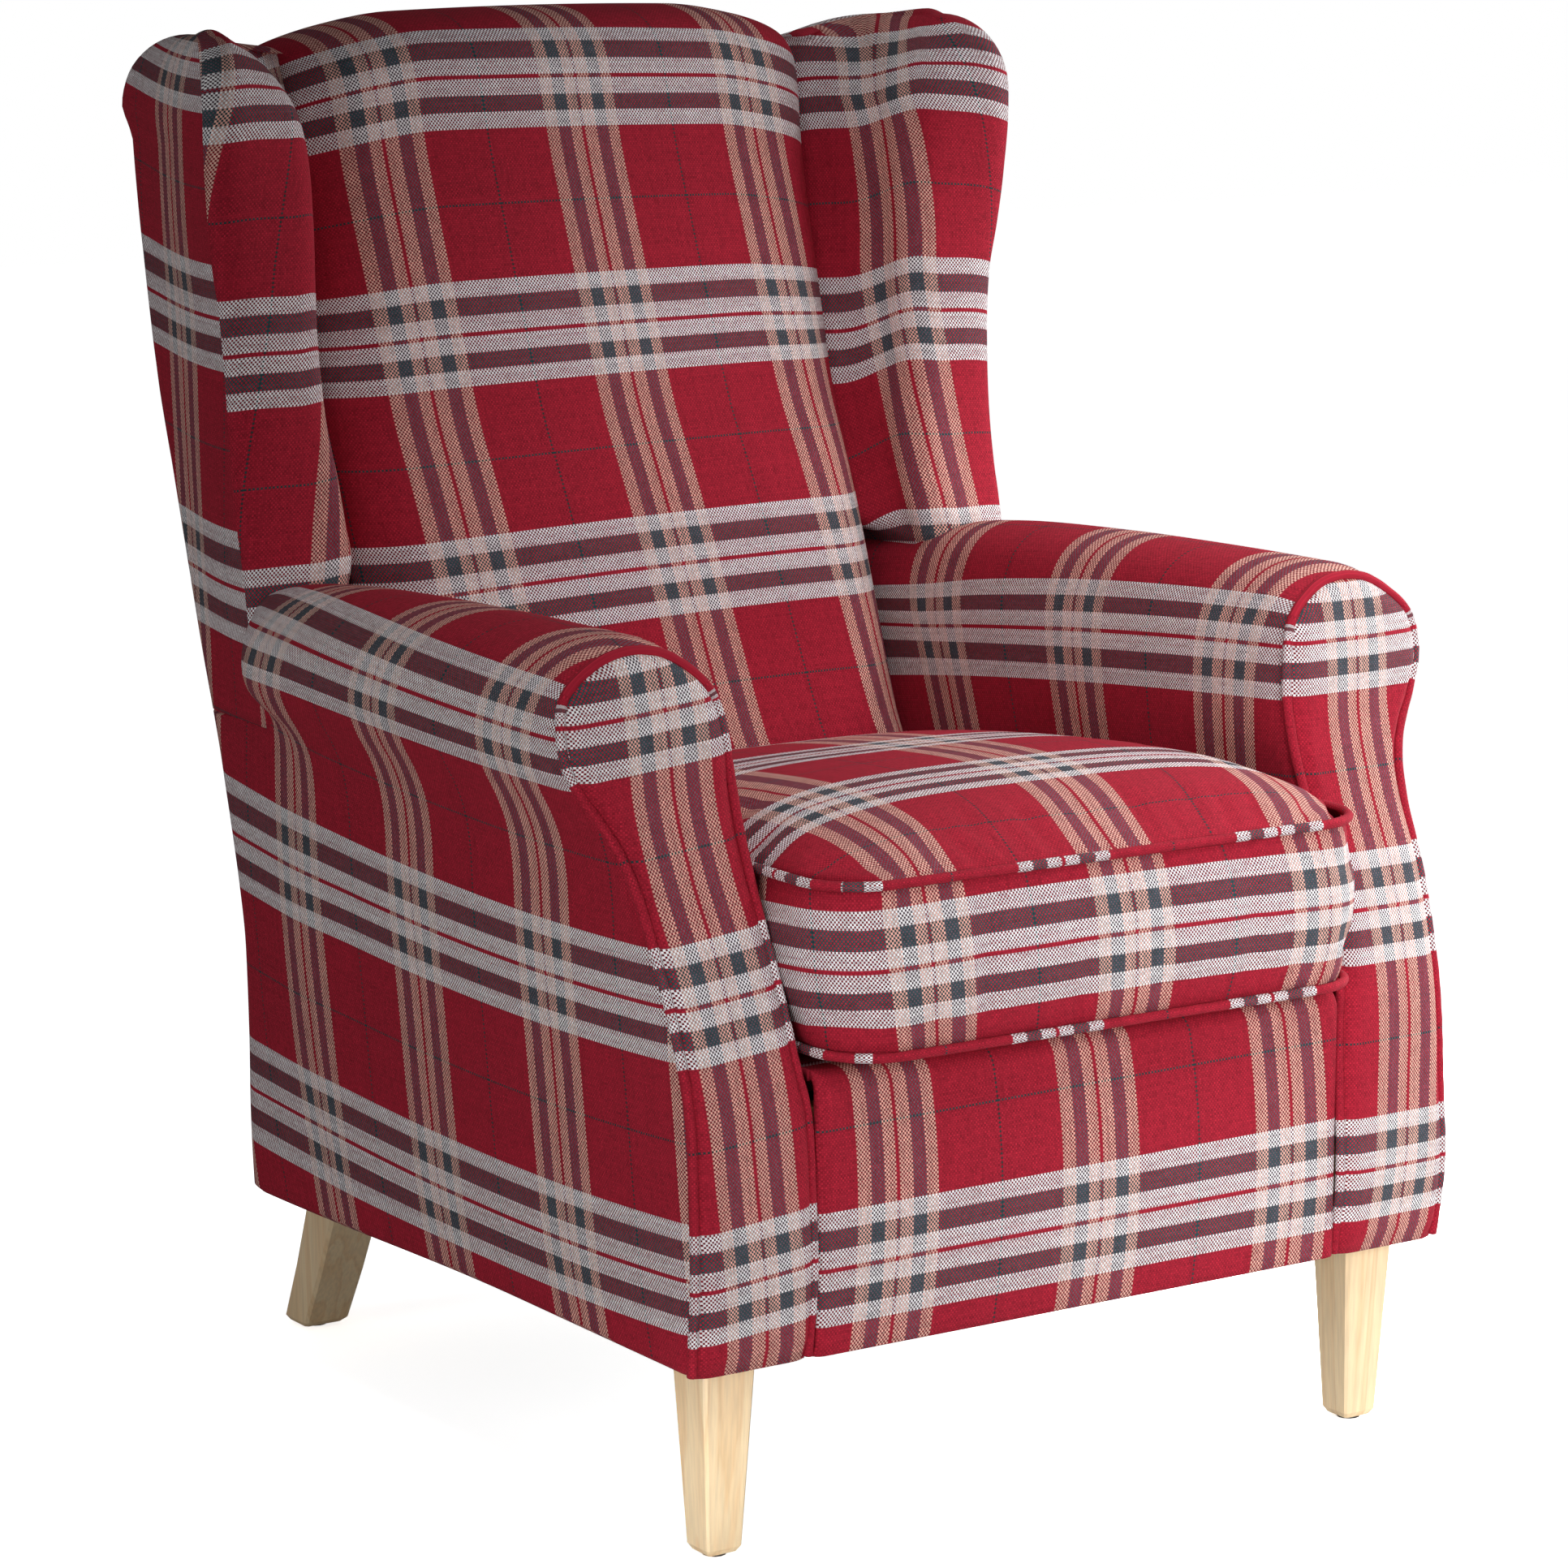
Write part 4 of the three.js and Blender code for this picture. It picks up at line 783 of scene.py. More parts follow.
TARTAN = tartan("tartan_weave")
BEECH = wood("beech_lacquered", srgb(252, 226, 184), srgb(243, 208, 160), 1.0, 0.38)
TIMBER = wood("frame_timber_sawn", srgb(206, 170, 118), srgb(176, 138, 90), 1.3, 0.75, axis=0)
WEBBING = woven("webbing_black", srgb(40, 38, 38), srgb(26, 25, 25), 0.0012)
LINING = plain("spunbond_black", srgb(34, 33, 34), srgb(24, 23, 24), 420.0, 0.9, 0.0004)
DECKING = woven("decking_cloth", srgb(168, 28, 44), srgb(132, 18, 32), 0.0011)
STEEL = plain("spring_steel", srgb(150, 152, 156), srgb(120, 122, 126), 90.0, 0.32, 0.0001, (1, 8, 1), 1.0)
PLASTIC = plain("glide_nylon", srgb(52, 46, 42), srgb(44, 39, 36), 260.0, 0.55, 0.0002)
SLOT_LOOKS = {"beech": BEECH, "frame_timber": TIMBER, "webbing": WEBBING, "spring_steel": STEEL,
              "glide_plastic": PLASTIC, "tartan_cloth": TARTAN, "piping_cloth": TARTAN, "foam": DECKING}
for row in frame["record"]["subparts"]:
    look = SLOT_LOOKS[row["material_slot"]]
    holder = frame["nodes"][row["node"]]
    holder.data.materials.clear()
    holder.data.materials.append(look)

# Arms
ROW = 8.0
FACING_HEM = 146.3
CORD_SIDES, STITCH = 10, 4.2


def arm_outline():
    """The arm cover's line in x, z, from the outer hem over the roll and down inside to the seat."""
    line = through(ARM_OUTLINE)
    hem = np.array([(326.0, 149.0), (333.0, 146.6), (336.5, 146.4)])
    keep = line[line[:, 1] > 148.0]
    last = np.where(keep[:, 1] > 344.0)[0][-1]
    line = np.vstack([hem, keep[:last + 1]])
    total = length_along(line)[-1]
    return at_length(line, np.append(np.arange(0, total, ROW), total))


def outline_normals(line):
    """Directions in x, z that point into the arm."""
    run = np.gradient(line, axis=0)
    run /= np.linalg.norm(run, axis=1)[:, None]
    return np.stack([-run[:, 1], run[:, 0]], -1)


def arm_cover_grid():
    """Rows follow the arm's outline, and columns run from the front seam to the rear."""
    line = arm_outline()
    lengths = length_along(line)
    inward = outline_normals(line)
    top = int(np.argmax(line[:, 1]))
    outer = np.arange(len(line)) < top
    xs, zs = line.T
    low = outer & (zs <= WING_FOOT)
    front = np.minimum(facing_y(zs) + 9.0, arm_y(zs) + 19.0)
    depth = lerp(13.0, 30.0, after(zs, NECK, 80))
    # first the columns up to the wing's front, and on the inner face up to the back pad
    wing_low, wing_nose = WING_FRONT[0]
    within = ease((300 - xs) / 30) * ~outer
    crease = lerp(smooth(WING_FRONT, zs), np.minimum(pad_y(zs) + 15, 250.0), within)
    crease = np.where(outer & (zs < wing_low), wing_nose, crease)
    near = np.array([0, 1.2, 3, 6, 10, 15, 21, 29])
    share = np.linspace(0, 1, 62)[1:]
    grid = np.zeros((len(line), len(near) + len(share) + 24, 3))
    for i, (x_row, z_row) in enumerate(line):
        y0, y1 = front[i], crease[i]
        hem = max(0.0, SIDE_REAR[0][1] - x_row) if outer[i] and z_row < 150 else 0.0
        first = np.concatenate([y0 + near, lerp(y0 + near[-1], y1, share)])
        if low[i]:
            end = rear_y(z_row) - CORNER
            straight = lerp(y1, end, np.linspace(0, 1, 15)[1:])
            angle = np.linspace(0, CORNER_TURN, 11)[1:]
            y = np.concatenate([first, straight, end + (CORNER - hem) * np.sin(angle)])
            drop = np.concatenate([np.full(len(first) + len(straight), hem),
                                   CORNER - (CORNER - hem) * np.cos(angle)])
        else:
            y = np.concatenate([first, lerp(y1, y1 + 26 + 48 * within[i], np.linspace(0, 1, 25)[1:])])
            drop = np.zeros(len(y))
        x, z = np.full(len(y), x_row), np.full(len(y), z_row)
        if outer[i]:
            # the roll's side runs over into the wing's
            reach = lerp(100.0, 34.0, after(z_row, NECK, 70))
            t = (y - (y1 - reach)) / reach
            side = side_x(y, z_row) - drop
            if not low[i]:
                side = side - 2.5 * after(y, y1, 10) - 0.5
            turn = np.clip(t, 0, 1)
            fade = lerp(ease(turn), round_in(turn), after(z_row, NECK, 60))
            x = np.where(t > 0, lerp(x_row, side, fade), x)
        # the front edge curls in towards the piping
        curl = (seam_inset(z_row) - 1.8) * (1 - np.clip((y - y0) / depth[i], 0, 1)) ** 2.2
        # the end of the roll goes down into the crease in front of the wing
        if z_row > WING_FOOT:
            sink = np.clip((y - (y1 - 62)) / 62, 0, 1)
            taken = 13 * after(z_row, WING_FOOT, 90) * (1.0 if outer[i] else after(x_row, 262, 30))
            curl = curl + taken * (1 - np.sqrt(1 - sink ** 2.6))
        grid[i] = np.stack([x + inward[i, 0] * curl, y, z + inward[i, 1] * curl], -1)
    return hem_fall(let_down(grid)), lengths - lengths[top]


def make_arms():
    grid, lengths = arm_cover_grid()
    for side, points in both_sides(grid):
        cloth = cloth_of("arm_" + side, points[..., 1], lengths[:, None], points)
        inside = (math.copysign(300, points[0, 0, 0]), 0, 400)
        piece = weld_piece("arm_" + side + "_cloth", [(points, cloth)], inside)
        solidify(piece, ARM_PADDING)
        finish_piece(piece, TARTAN, "tartan_cloth", "chair_frame", "arm_cover_" + side)


def outer_bulge(x, z):
    """The facing stands back a little where the scroll bulges outwards."""
    return 5.0 * after(x, 330, 45) * after(z, 400, 80)


def facing_grid(line, inward):
    """The front of the facing, row by row between the outer and the inner part of its seam."""
    edge = line + inward * seam_inset(line[:, 1])[:, None]
    edge[:, 1] = np.maximum(edge[:, 1], FACING_HEM - 0.1)
    top = int(np.argmax(edge[:, 1]))
    rise = np.sin(np.linspace(0, 1, 118) * math.pi / 2) ** 0.8
    heights = FACING_HEM + (edge[top, 1] - 0.05 - FACING_HEM) * rise
    ends = []
    for part in (edge[:top + 1], edge[top:][::-1]):
        order = np.argsort(part[:, 1])
        ends.append(np.interp(heights, part[order, 1], part[order, 0])[:, None])
    across = (1 - np.cos(np.linspace(0, math.pi, 26))) / 2
    xs = lerp(ends[0], ends[1], across[None, :])
    zs = np.broadcast_to(heights[:, None], xs.shape)
    distance = segment_distance(np.stack([xs, zs], -1), edge)
    rim = np.clip(1 - distance / 15.0, 0, 0.985)
    hem = np.clip(1 - (zs - FACING_HEM) / 9, 0, 1)
    y = facing_y(zs) - 1.5 + 8.0 * round_in(rim) + 5 * round_in(hem) + outer_bulge(xs, zs)
    # the stump board stands right behind it
    y = np.minimum(y, arm_y(zs) + 11.0 + 8.0 * ease((8 - distance) / 6))
    return np.stack([xs, y, zs], -1)


def make_facings():
    line = through(ARM_OUTLINE)
    line = line[line[:, 1] > BASE_BOTTOM + 0.5]
    inward = outline_normals(line)
    points = facing_grid(line, inward)
    behind = points + (0, 6.0, 0)
    rim = np.array([np.concatenate([grid[0, :-1], grid[:-1, -1], grid[-1, :0:-1], grid[::-1, 0]])
                    for grid in (points, behind)])
    for (side, face), (_, back), (_, border) in zip(both_sides(points), both_sides(behind), both_sides(rim)):
        grids = []
        for shape in (face, back, border):
            grids.append((shape, cloth_of("facing_" + side, np.abs(shape[..., 0]), shape[..., 2], shape)))
        piece = weld_piece("arm_" + side + "_facing", grids, (math.copysign(300, face[0, 0, 0]), 0, 400))
        outward(piece)
        finish_piece(piece, TARTAN, "tartan_cloth", "chair_frame", "arm_facing_" + side)
    # piping: a cord sewn round the facing
    cord = line + inward * (seam_inset(line[:, 1]) - 2.6)[:, None]
    cord = spread(cord[cord[:, 1] > BASE_BOTTOM + 1], 320)
    xs, zs = cord.T
    ys = np.minimum(facing_y(zs) + 7.0, arm_y(zs) + 16.5) + outer_bulge(xs, zs)
    for side, path in both_sides(np.stack([xs, ys, zs], -1)):
        tube_piece("arm_" + side + "_piping", path, 4.0, "piping_" + side, "chair_frame",
                   ["arm_piping_" + side], heights="facing_" + side)


def tube_piece(name, path, radius, panel, body, nodes, closed=False, heights=None):
    """Round cord along a path, with its cloth length along it."""
    if closed:
        run = np.roll(path, -1, axis=0) - np.roll(path, 1, axis=0)
    else:
        run = np.gradient(path, axis=0)
    run /= np.linalg.norm(run, axis=1)[:, None]
    if closed:
        path, run = np.vstack([path, path[:1]]), np.vstack([run, run[:1]])
    s = length_along(path)
    side = np.cross(run, (0.0, 0.0, 1.0) if closed else (0.0, 1.0, 0.0))
    side /= np.linalg.norm(side, axis=1)[:, None]
    other = np.cross(run, side)
    angles = np.linspace(0, 2 * math.pi, CORD_SIDES + 1)
    ring = (np.cos(angles)[None, :, None] * side[:, None, :]
            + np.sin(angles)[None, :, None] * other[:, None, :])
    # stitches pull the cord in a little at an even pitch
    beat = radius * (1 - 0.05 * (0.5 + 0.5 * np.cos(2 * math.pi * s / STITCH)))
    points = path[:, None, :] + ring * beat[:, None, None]
    cloth = cloth_of(panel, (angles * radius)[None, :], s[:, None], points)
    if heights:
        # its bands lie level with those of the panel it edges
        level = cloth_of(heights, np.abs(path[:, 0]), path[:, 2], path)
        cloth[..., 0] = CORD_PLACE + (angles * radius)[None, :] * MM
        cloth[..., 1] = lerp(level[:, 1], CORD_PLACE, after(path[:, 2], 606, 12))[:, None]
    piece = weld_piece(name, [(points, cloth)], path.mean(axis=0))
    close_holes(piece)
    return finish_piece(piece, TARTAN, "piping_cloth", body, *nodes)


# Wings
WING_ROWS = 57


def wing_rounding(z, height=WING_ROUND):
    """0 below the wing's rounded top and 1 at its very top."""
    rise = np.clip((z - (WING_TOP - height)) / height, 0, 1)
    return 1 - np.sqrt(1 - rise ** 2)


def crown_wing(points):
    """The top of the wing falls towards the back pad."""
    out = points.copy()
    out[..., 2] -= 19 * ease((342 - np.abs(points[..., 0])) / 100) * after(points[..., 2], 960, 80)
    return out


def wing_ring(z):
    """Front cloth from the outer seam round the front to the inside, and outer cloth back to the rear."""
    round_top, inner_round = wing_rounding(z), wing_rounding(z, INNER_ROUND)
    front = float(smooth(WING_FRONT, z)) + DRAW_FRONT * round_top
    outer = float(smooth(WING_OUTER, z)) - DRAW_OUTER * round_top
    back = float(smooth(WING_BACKSET, z)) + DRAW_BACK * inner_round
    inner = float(smooth(WING_INNER, z)) + DRAW_INNER * inner_round
    over = z - REAR_PANEL_TOP
    # above the outside back's cloth the wing closes the rear itself, and rounds off
    centre_y = (float(rear_y(z)) + REAR_PROUD * ease(over / 28) * (1 - .3 * after(z, 1010, 40))
                - DRAW_REAR * wing_rounding(z, REAR_ROUND) - CORNER)
    rear = centre_y + CORNER - REAR_SETBACK + REAR_SETBACK * ease(over / 26)
    edge = min(float(pad_y(z)) + 62.0, rear - 30)
    deep = 236.0 + 8 * round_top
    if z < ARM_TOP - 20:
        deep = lerp(deep, inner - 2, ease((ARM_TOP - 20 - z) / 20))
    nose = front + back
    front_cloth = through([
        (outer, front + 9), (outer - 1.6, front + 3.5), (outer - 6.5, front - 1.5), (outer - 18, front - 5.5),
        ((outer + inner) / 2, front - 6.5 + back * .35), (inner + 18, front - 3 + back * .75),
        (inner + 7, nose + 5), (inner + 1.5, nose + 17), (inner - 1, nose + 34),
        (lerp(inner - 1, deep, .45), lerp(nose + 34, edge, .5)), (deep, edge), (deep, rear - 6)], 14)
    rear_x = float(smooth(SIDE_REAR, z)) - DRAW_SIDE * round_top
    ys = np.linspace(front + 9, centre_y, 18)
    span = (ys - ys[0]) / (centre_y - ys[0])
    side = lerp(outer, rear_x, ease(span) * .35 + span * .65) + 2.5 * np.sin(np.pi * span) * after(z, 560, 80)
    turn = np.linspace(0, lerp(CORNER_TURN, math.pi / 2, ease(over / 4)), 9)[1:]
    arc = np.stack([rear_x - CORNER + CORNER * np.cos(turn), centre_y + CORNER * np.sin(turn)], -1)
    end = [(lerp(arc[-1, 0], deep, .5), rear), (deep, rear - 6)]
    return front_cloth, np.vstack([np.stack([side, ys], -1), arc, end])


def wing_grids():
    """Rows of both cloths from the arm up: WING_ROWS below the rounded top, and then closer ones."""
    top_rise = np.sin(np.linspace(0, 1, 15)[1:] * math.pi / 2)
    shoulder = WING_TOP - WING_ROUND
    zs = np.concatenate([np.linspace(WING_FOOT, shoulder, WING_ROWS + 1), shoulder + WING_ROUND * top_rise])
    shares = np.linspace(0, 1, 46) ** 1.25, np.linspace(0, 1, 40) ** 1.15
    grids = [], []
    for z in zs:
        for grid, line, share in zip(grids, wing_ring(float(z)), shares):
            row = at_length(line, share * length_along(line)[-1])
            grid.append(np.column_stack([row, np.full(len(row), z)]))
    return np.array(grids[0]), np.array(grids[1])


def climb(points, base):
    """Length up the outside cloth: its height up to row base, and sections at a constant y over the top."""
    up = points[..., 2].copy()
    for k in range(base + 1, len(points)):
        count = int(np.argmax(points[k - 1][:, 1])) + 1
        row, low, below = points[k], points[k - 1][:count], up[k - 1][:count]
        beside = np.interp(row[:, 1], low[:, 1], low[:, 0])
        under = np.interp(row[:, 1], low[:, 1], low[:, 2])
        step = np.hypot(row[:, 0] - beside, row[:, 2] - under)
        step = np.minimum(step, np.linalg.norm(row - points[k - 1], axis=-1))
        up[k] = np.interp(row[:, 1], low[:, 1], below) + step
    return up


def carried(points, base, start, near=8, beside=9):
    """Places across and up a cloth: up is square to the rows, and across goes straight up from row base."""
    across = np.array([length_along(row) for row in points])
    up = np.full(points.shape[:2], start)
    column = np.arange(points.shape[1])
    far = np.abs(column[:, None] - column[None, :-1]) > near
    for k in range(1, len(points)):
        low, run = points[k - 1][:-1], np.diff(points[k - 1], axis=0)
        t = ((points[k][:, None] - low) * run).sum(-1) / (run ** 2).sum(-1).clip(1e-9)
        t = np.clip(t, 0, 1)
        apart = np.linalg.norm(points[k][:, None] - low - t[..., None] * run, axis=-1) + far * 1e6
        foot = apart.argmin(-1)
        t, apart = t[column, foot], apart[column, foot]
        up[k] = lerp(up[k - 1][foot], up[k - 1][foot + 1], t) + apart
        if k > base:
            across[k] = lerp(across[k - 1][foot], across[k - 1][foot + 1], t)
            # beside the seam, which cuts across the threads, straight up is at a constant x
            row, low = points[k][:beside], points[k - 1][2 * beside::-1]
            depth = row[:, 1] - np.interp(row[:, 0], low[:, 0], low[:, 1])
            rise = row[:, 2] - np.interp(row[:, 0], low[:, 0], low[:, 2])
            across[k, :beside] = np.interp(row[:, 0], low[:, 0], across[k - 1, 2 * beside::-1])
            below = np.interp(row[:, 0], low[:, 0], up[k - 1, 2 * beside::-1])
            up[k, :beside] = below + np.hypot(depth, rise)
    return across, up


def cap_rows(front, outer, rise=5.0, steps=7):
    """Rows that close the top, from the last ring in to its middle line."""
    def towards(points, other, t):
        share = length_along(points[:, :2]) / length_along(points[:, :2])[-1]
        twin = at_length(other, share * length_along(other)[-1])
        out = lerp(points, (points + twin) / 2, t)
        apart = np.linalg.norm(points - twin, axis=-1)
        out[:, 2] = points[:, 2] + rise * math.sin(t * math.pi / 2) * ease(apart / 40)
        return out
    shares = [k / (steps - 1) for k in range(1, steps)]
    a, b = front[-1], outer[-1]
    return np.array([towards(a, b, t) for t in shares]), np.array([towards(b, a, t) for t in shares])


def make_wings():
    front, outer = wing_grids()
    more_front, more_outer = cap_rows(front, outer)
    front = crown_wing(np.concatenate([front, more_front]))
    outer = crown_wing(np.concatenate([outer, more_outer]))
    across, up = carried(front, WING_ROWS, WING_FOOT)
    up_outer = climb(outer, WING_ROWS)
    # the photo shows the outside of the left wing alone, and the right one's cloth lies as a mirror image
    LAYS["wing_outer_left"] = lay_of("wing_outer_left", outer[..., 1], up_outer, flipped(outer))
    LAYS["wing_outer_right"] = LAYS["wing_outer_left"]
    for (side, face), (_, behind) in zip(both_sides(front), both_sides(outer)):
        grids = [(face, cloth_of("wing_front_" + side, across, up, face)),
                 (behind, cloth_of("wing_outer_" + side, outer[..., 1], up_outer, behind))]
        inside = (math.copysign(300, face[0, 0, 0]), 300, 800)
        piece = weld_piece("wing_" + side + "_cloth", grids, inside, gap=3e-4)
        close_holes(piece)
        finish_piece(piece, TARTAN, "tartan_cloth", "chair_frame", "wing_" + side)


# Back
PAD_HALF, PAD_FLAT, PAD_BOTTOM = 242.0, 188.0, 354.2


def pad_profile(x):
    """Side view of the inside back: up the front, over the top and down to the outside back."""
    ax = abs(x)
    turn = float(round_in(np.clip((ax - PAD_FLAT) / (PAD_HALF - PAD_FLAT), 0, 1)))
    draw = 9 * (ax / PAD_FLAT) ** 2 + 44 * turn
    drop = 7 * (ax / PAD_HALF) ** 2 + 12 * float(after(ax, 130, 112)) + 14 * turn
    zs = np.concatenate([np.linspace(PAD_BOTTOM, 520, 14), np.linspace(530, 1010, 52)])
    front = np.stack([pad_y(zs) + draw, zs - after(zs, 700, 310) * drop], -1)
    y0, z0 = front[-1]
    peak = BACK_TOP - drop
    y1 = float(rear_y(1012)) + 3.0 - 12 * turn
    deep, rise = y1 - y0, peak - z0
    roll = np.array([
        (y0, z0), (y0 + .055 * deep, z0 + .52 * rise), (y0 + .167 * deep, z0 + .83 * rise),
        (y0 + .383 * deep, peak), (y0 + .593 * deep, peak - 1.5), (y1 - .136 * deep, peak - 15),
        (y1 - .025 * deep, peak - 38), (y1, peak - 62), (float(rear_y(981)) + 1 - 6 * turn, 984),
        (float(rear_y(966)) - 3, 966), (float(rear_y(962)) - 8, 962)])
    over = spread(through(np.vstack([front[-3:-1], roll]), 12), 60)[4:]
    return np.vstack([front[:-1], over])


def make_inside_back():
    edge = PAD_FLAT + (PAD_HALF - PAD_FLAT) * np.sin(np.linspace(0, math.pi / 2, 15)[1:])
    half = np.concatenate([np.linspace(0, PAD_FLAT, 24), edge])
    xs = np.concatenate([-half[:0:-1], half])
    profiles = [pad_profile(x) for x in xs]
    columns = [np.column_stack([np.full(len(p), x), p]) for x, p in zip(xs, profiles)]
    grid = np.array(columns).transpose(1, 0, 2)
    middle = grid.shape[1] // 2
    across = length_along(grid[40])
    across -= across[middle]
    up = length_along(grid[:, middle, 1:]) + PAD_BOTTOM
    cloth = cloth_of("back_pad", across[None, :], up[:, None], grid)
    piece = weld_piece("inside_back", [(grid, cloth)], (0, 400, 700))
    solidify(piece, BACK_PADDING)
    finish_piece(piece, TARTAN, "tartan_cloth", "chair_frame", "back_pad")


def make_outside_back():
    """One cloth round both rear corners, turned in at its hem."""
    zs = np.concatenate([[149.5, 147.0, 148.0], np.linspace(152, REAR_PANEL_TOP + 3, 90)])
    inwards = np.concatenate([[11.0, 5.0, 1.5], np.zeros(90)])
    angle = np.linspace(math.pi / 2 - CORNER_TURN, 0, 9)
    rows = []
    for z, pull in zip(zs, inwards):
        side = float(smooth(SIDE_REAR, z)) - (1 if z > 520 else 0) - CORNER
        y = float(rear_y(z)) - pull
        arc = np.stack([side + CORNER * np.sin(angle), y - CORNER + CORNER * np.cos(angle)], -1)
        flat = np.linspace(side, -side, 48)[1:-1]
        line = np.vstack([arc, np.column_stack([flat, np.full(46, y)]), arc[::-1] * (-1, 1)])
        rows.append(np.column_stack([line, np.full(len(line), z)]))
    grid = hem_fall(np.array(rows))
    across = length_along(grid[50])
    across -= across[-1] / 2
    up = length_along(grid[:, grid.shape[1] // 2, 1:]) + BASE_BOTTOM
    cloth = cloth_of("outside_back", across[None, :], up[:, None], grid)
    piece = weld_piece("outside_back_cloth", [(grid, cloth)], (0, 0, 500))
    solidify(piece, PANEL_CLOTH)
    finish_piece(piece, TARTAN, "tartan_cloth", "chair_frame", "outside_back")


# Front apron, deck and lining
def make_apron():
    """Front panel of the base, rolled over at the top on to the deck and turned in at its hem and sides."""
    half, roll = 235.0, 15.0
    xs = np.concatenate([[-half, -half + 1.5, -half + 4], np.linspace(-half + 8, half - 8, 60),
                         [half - 4, half - 1.5, half]])
    angle = np.linspace(0.1, 1, 8) * math.pi / 2
    hem = [(APRON_FRONT + 8, 148.0), (APRON_FRONT + 3, 146.4), (APRON_FRONT + .6, 147.5)]
    profile = np.vstack([
        hem, [(APRON_FRONT, z) for z in np.linspace(152, 338, 28)],
        np.stack([APRON_FRONT + roll * (1 - np.cos(angle)), DECK_TOP - roll * (1 - np.sin(angle))], -1),
        [(y, DECK_TOP) for y in np.linspace(-380, -368, 4)]])
    ys, zs = profile.T[:, :, None]
    sides = 6 * round_in(np.clip(1 - (half - np.abs(xs)) / 9, 0, 1))
    bow = 3.0 * np.sin(np.clip((zs - BASE_BOTTOM) / 200, 0, 1) * math.pi) * (1 - (xs / half) ** 2)
    points = np.stack(np.broadcast_arrays(xs[None, :], ys + sides * (zs < 352) - bow, zs), -1)
    up = length_along(profile)[:, None] + BASE_BOTTOM - 8
    cloth = cloth_of("apron", xs[None, :], up, points)
    piece = weld_piece("front_apron_cloth", [(points, cloth)], (0, 0, 250))
    solidify(piece, APRON_PADDING)
    finish_piece(piece, TARTAN, "tartan_cloth", "chair_frame", "front_apron")


def make_deck():
    """Flat pad with softly rounded edges, in the place of the CAD model's deck."""
    low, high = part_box("seat_deck")
    x1, y0, y1 = high[0] / MM - 1, (low[1] - SHIFT) / MM + 0.5, (high[1] - SHIFT) / MM - 1
    z0, z1 = low[2] / MM + 0.4, high[2] / MM
    under, over = 5.0, 6.0
    levels = [(under, z0)]
    levels += [(under * (1 - t), z0 + under * (1 - math.sqrt(1 - t * t))) for t in (.4, .8, 1)]
    levels += [(0.0, (z0 + z1) / 2)]
    for angle in np.linspace(0, math.pi / 2, 6):
        levels.append((over * (1 - math.cos(angle)), z1 - over + over * math.sin(angle)))
    levels += [(30, z1), (90, z1)]
    middle = (y0 + y1) / 2
    rows = []
    for inset, z in levels:
        hx, hy = x1 - inset, (y1 - y0) / 2 - inset
        rows.append([(x, y, z) for x, y in round_box(hx, hy, max(10 - inset, 2), middle)])
    grid = np.array(rows)
    grid = np.concatenate([grid, grid[:, :1]], axis=1)
    piece = weld_piece("seat_deck_pad", [(grid, grid[..., :2] * MM)], (0, middle, (z0 + z1) / 2))
    close_holes(piece)
    finish_piece(piece, DECKING, "foam", "chair_frame", "seat_deck")


def round_box(hx, hy, radius, middle_y):
    """Rectangle with rounded corners, as points."""
    points = []
    for cx, cy, start in ((1, 1, 0), (-1, 1, 90), (-1, -1, 180), (1, -1, 270)):
        for k in range(5):
            angle = math.radians(start + 22.5 * k)
            points.append((cx * (hx - radius) + radius * math.cos(angle),
                           middle_y + cy * (hy - radius) + radius * math.sin(angle)))
    return points


def make_lining():
    low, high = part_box("dust_cover")
    x1 = high[0] / MM
    y0, y1 = (low[1] - SHIFT) / MM, (high[1] - SHIFT) / MM
    xs, ys = np.linspace(-x1, x1, 65), np.linspace(y0, y1, 65)
    gx, gy = np.meshgrid(xs, ys)
    sag = np.cos(gx / x1 * math.pi / 2) * np.sin((gy - y0) / (y1 - y0) * math.pi)
    gz = 149.2 - 1.8 * np.clip(sag, 0, 1)
    grid = np.stack([gx, gy, gz], -1)
    piece = weld_piece("base_lining", [(grid, grid[..., :2] * MM)], (0, 0, 300))
    solidify(piece, LINING_CLOTH)
    finish_piece(piece, LINING, "webbing", "chair_frame", "dust_cover")


# Loose cushion: its outline at the lower seam, the radii of its front and rear corners, and its heights
HALF, FRONT, REAR = 229.0, -431.0, 119.0
NEAR_CORNER, FAR_CORNER = 48.0, 26.0
SEAM_LOW, SEAM_HIGH, CROWN, BOTTOM = 367.0, 488.5, 528.5, 354.0
# the upper seam lies further out and further back, and the wall bulges between the seams
UPPER_OUT, BULGE, CORD_RADIUS, CORD_OUT = 7.0, 7.0, 3.7, 4.1
NX, NY = 60, 70


def worn(y):
    """0 at the front of the cushion and 1 at its rear, where it is pressed flatter."""
    return np.clip((np.asarray(y, float) + 320) / 440, 0, 1) ** 1.3


def seam_height(points):
    """Height of the upper seam, which sinks towards the rear."""
    return SEAM_HIGH - 24 * worn(points[..., 1])


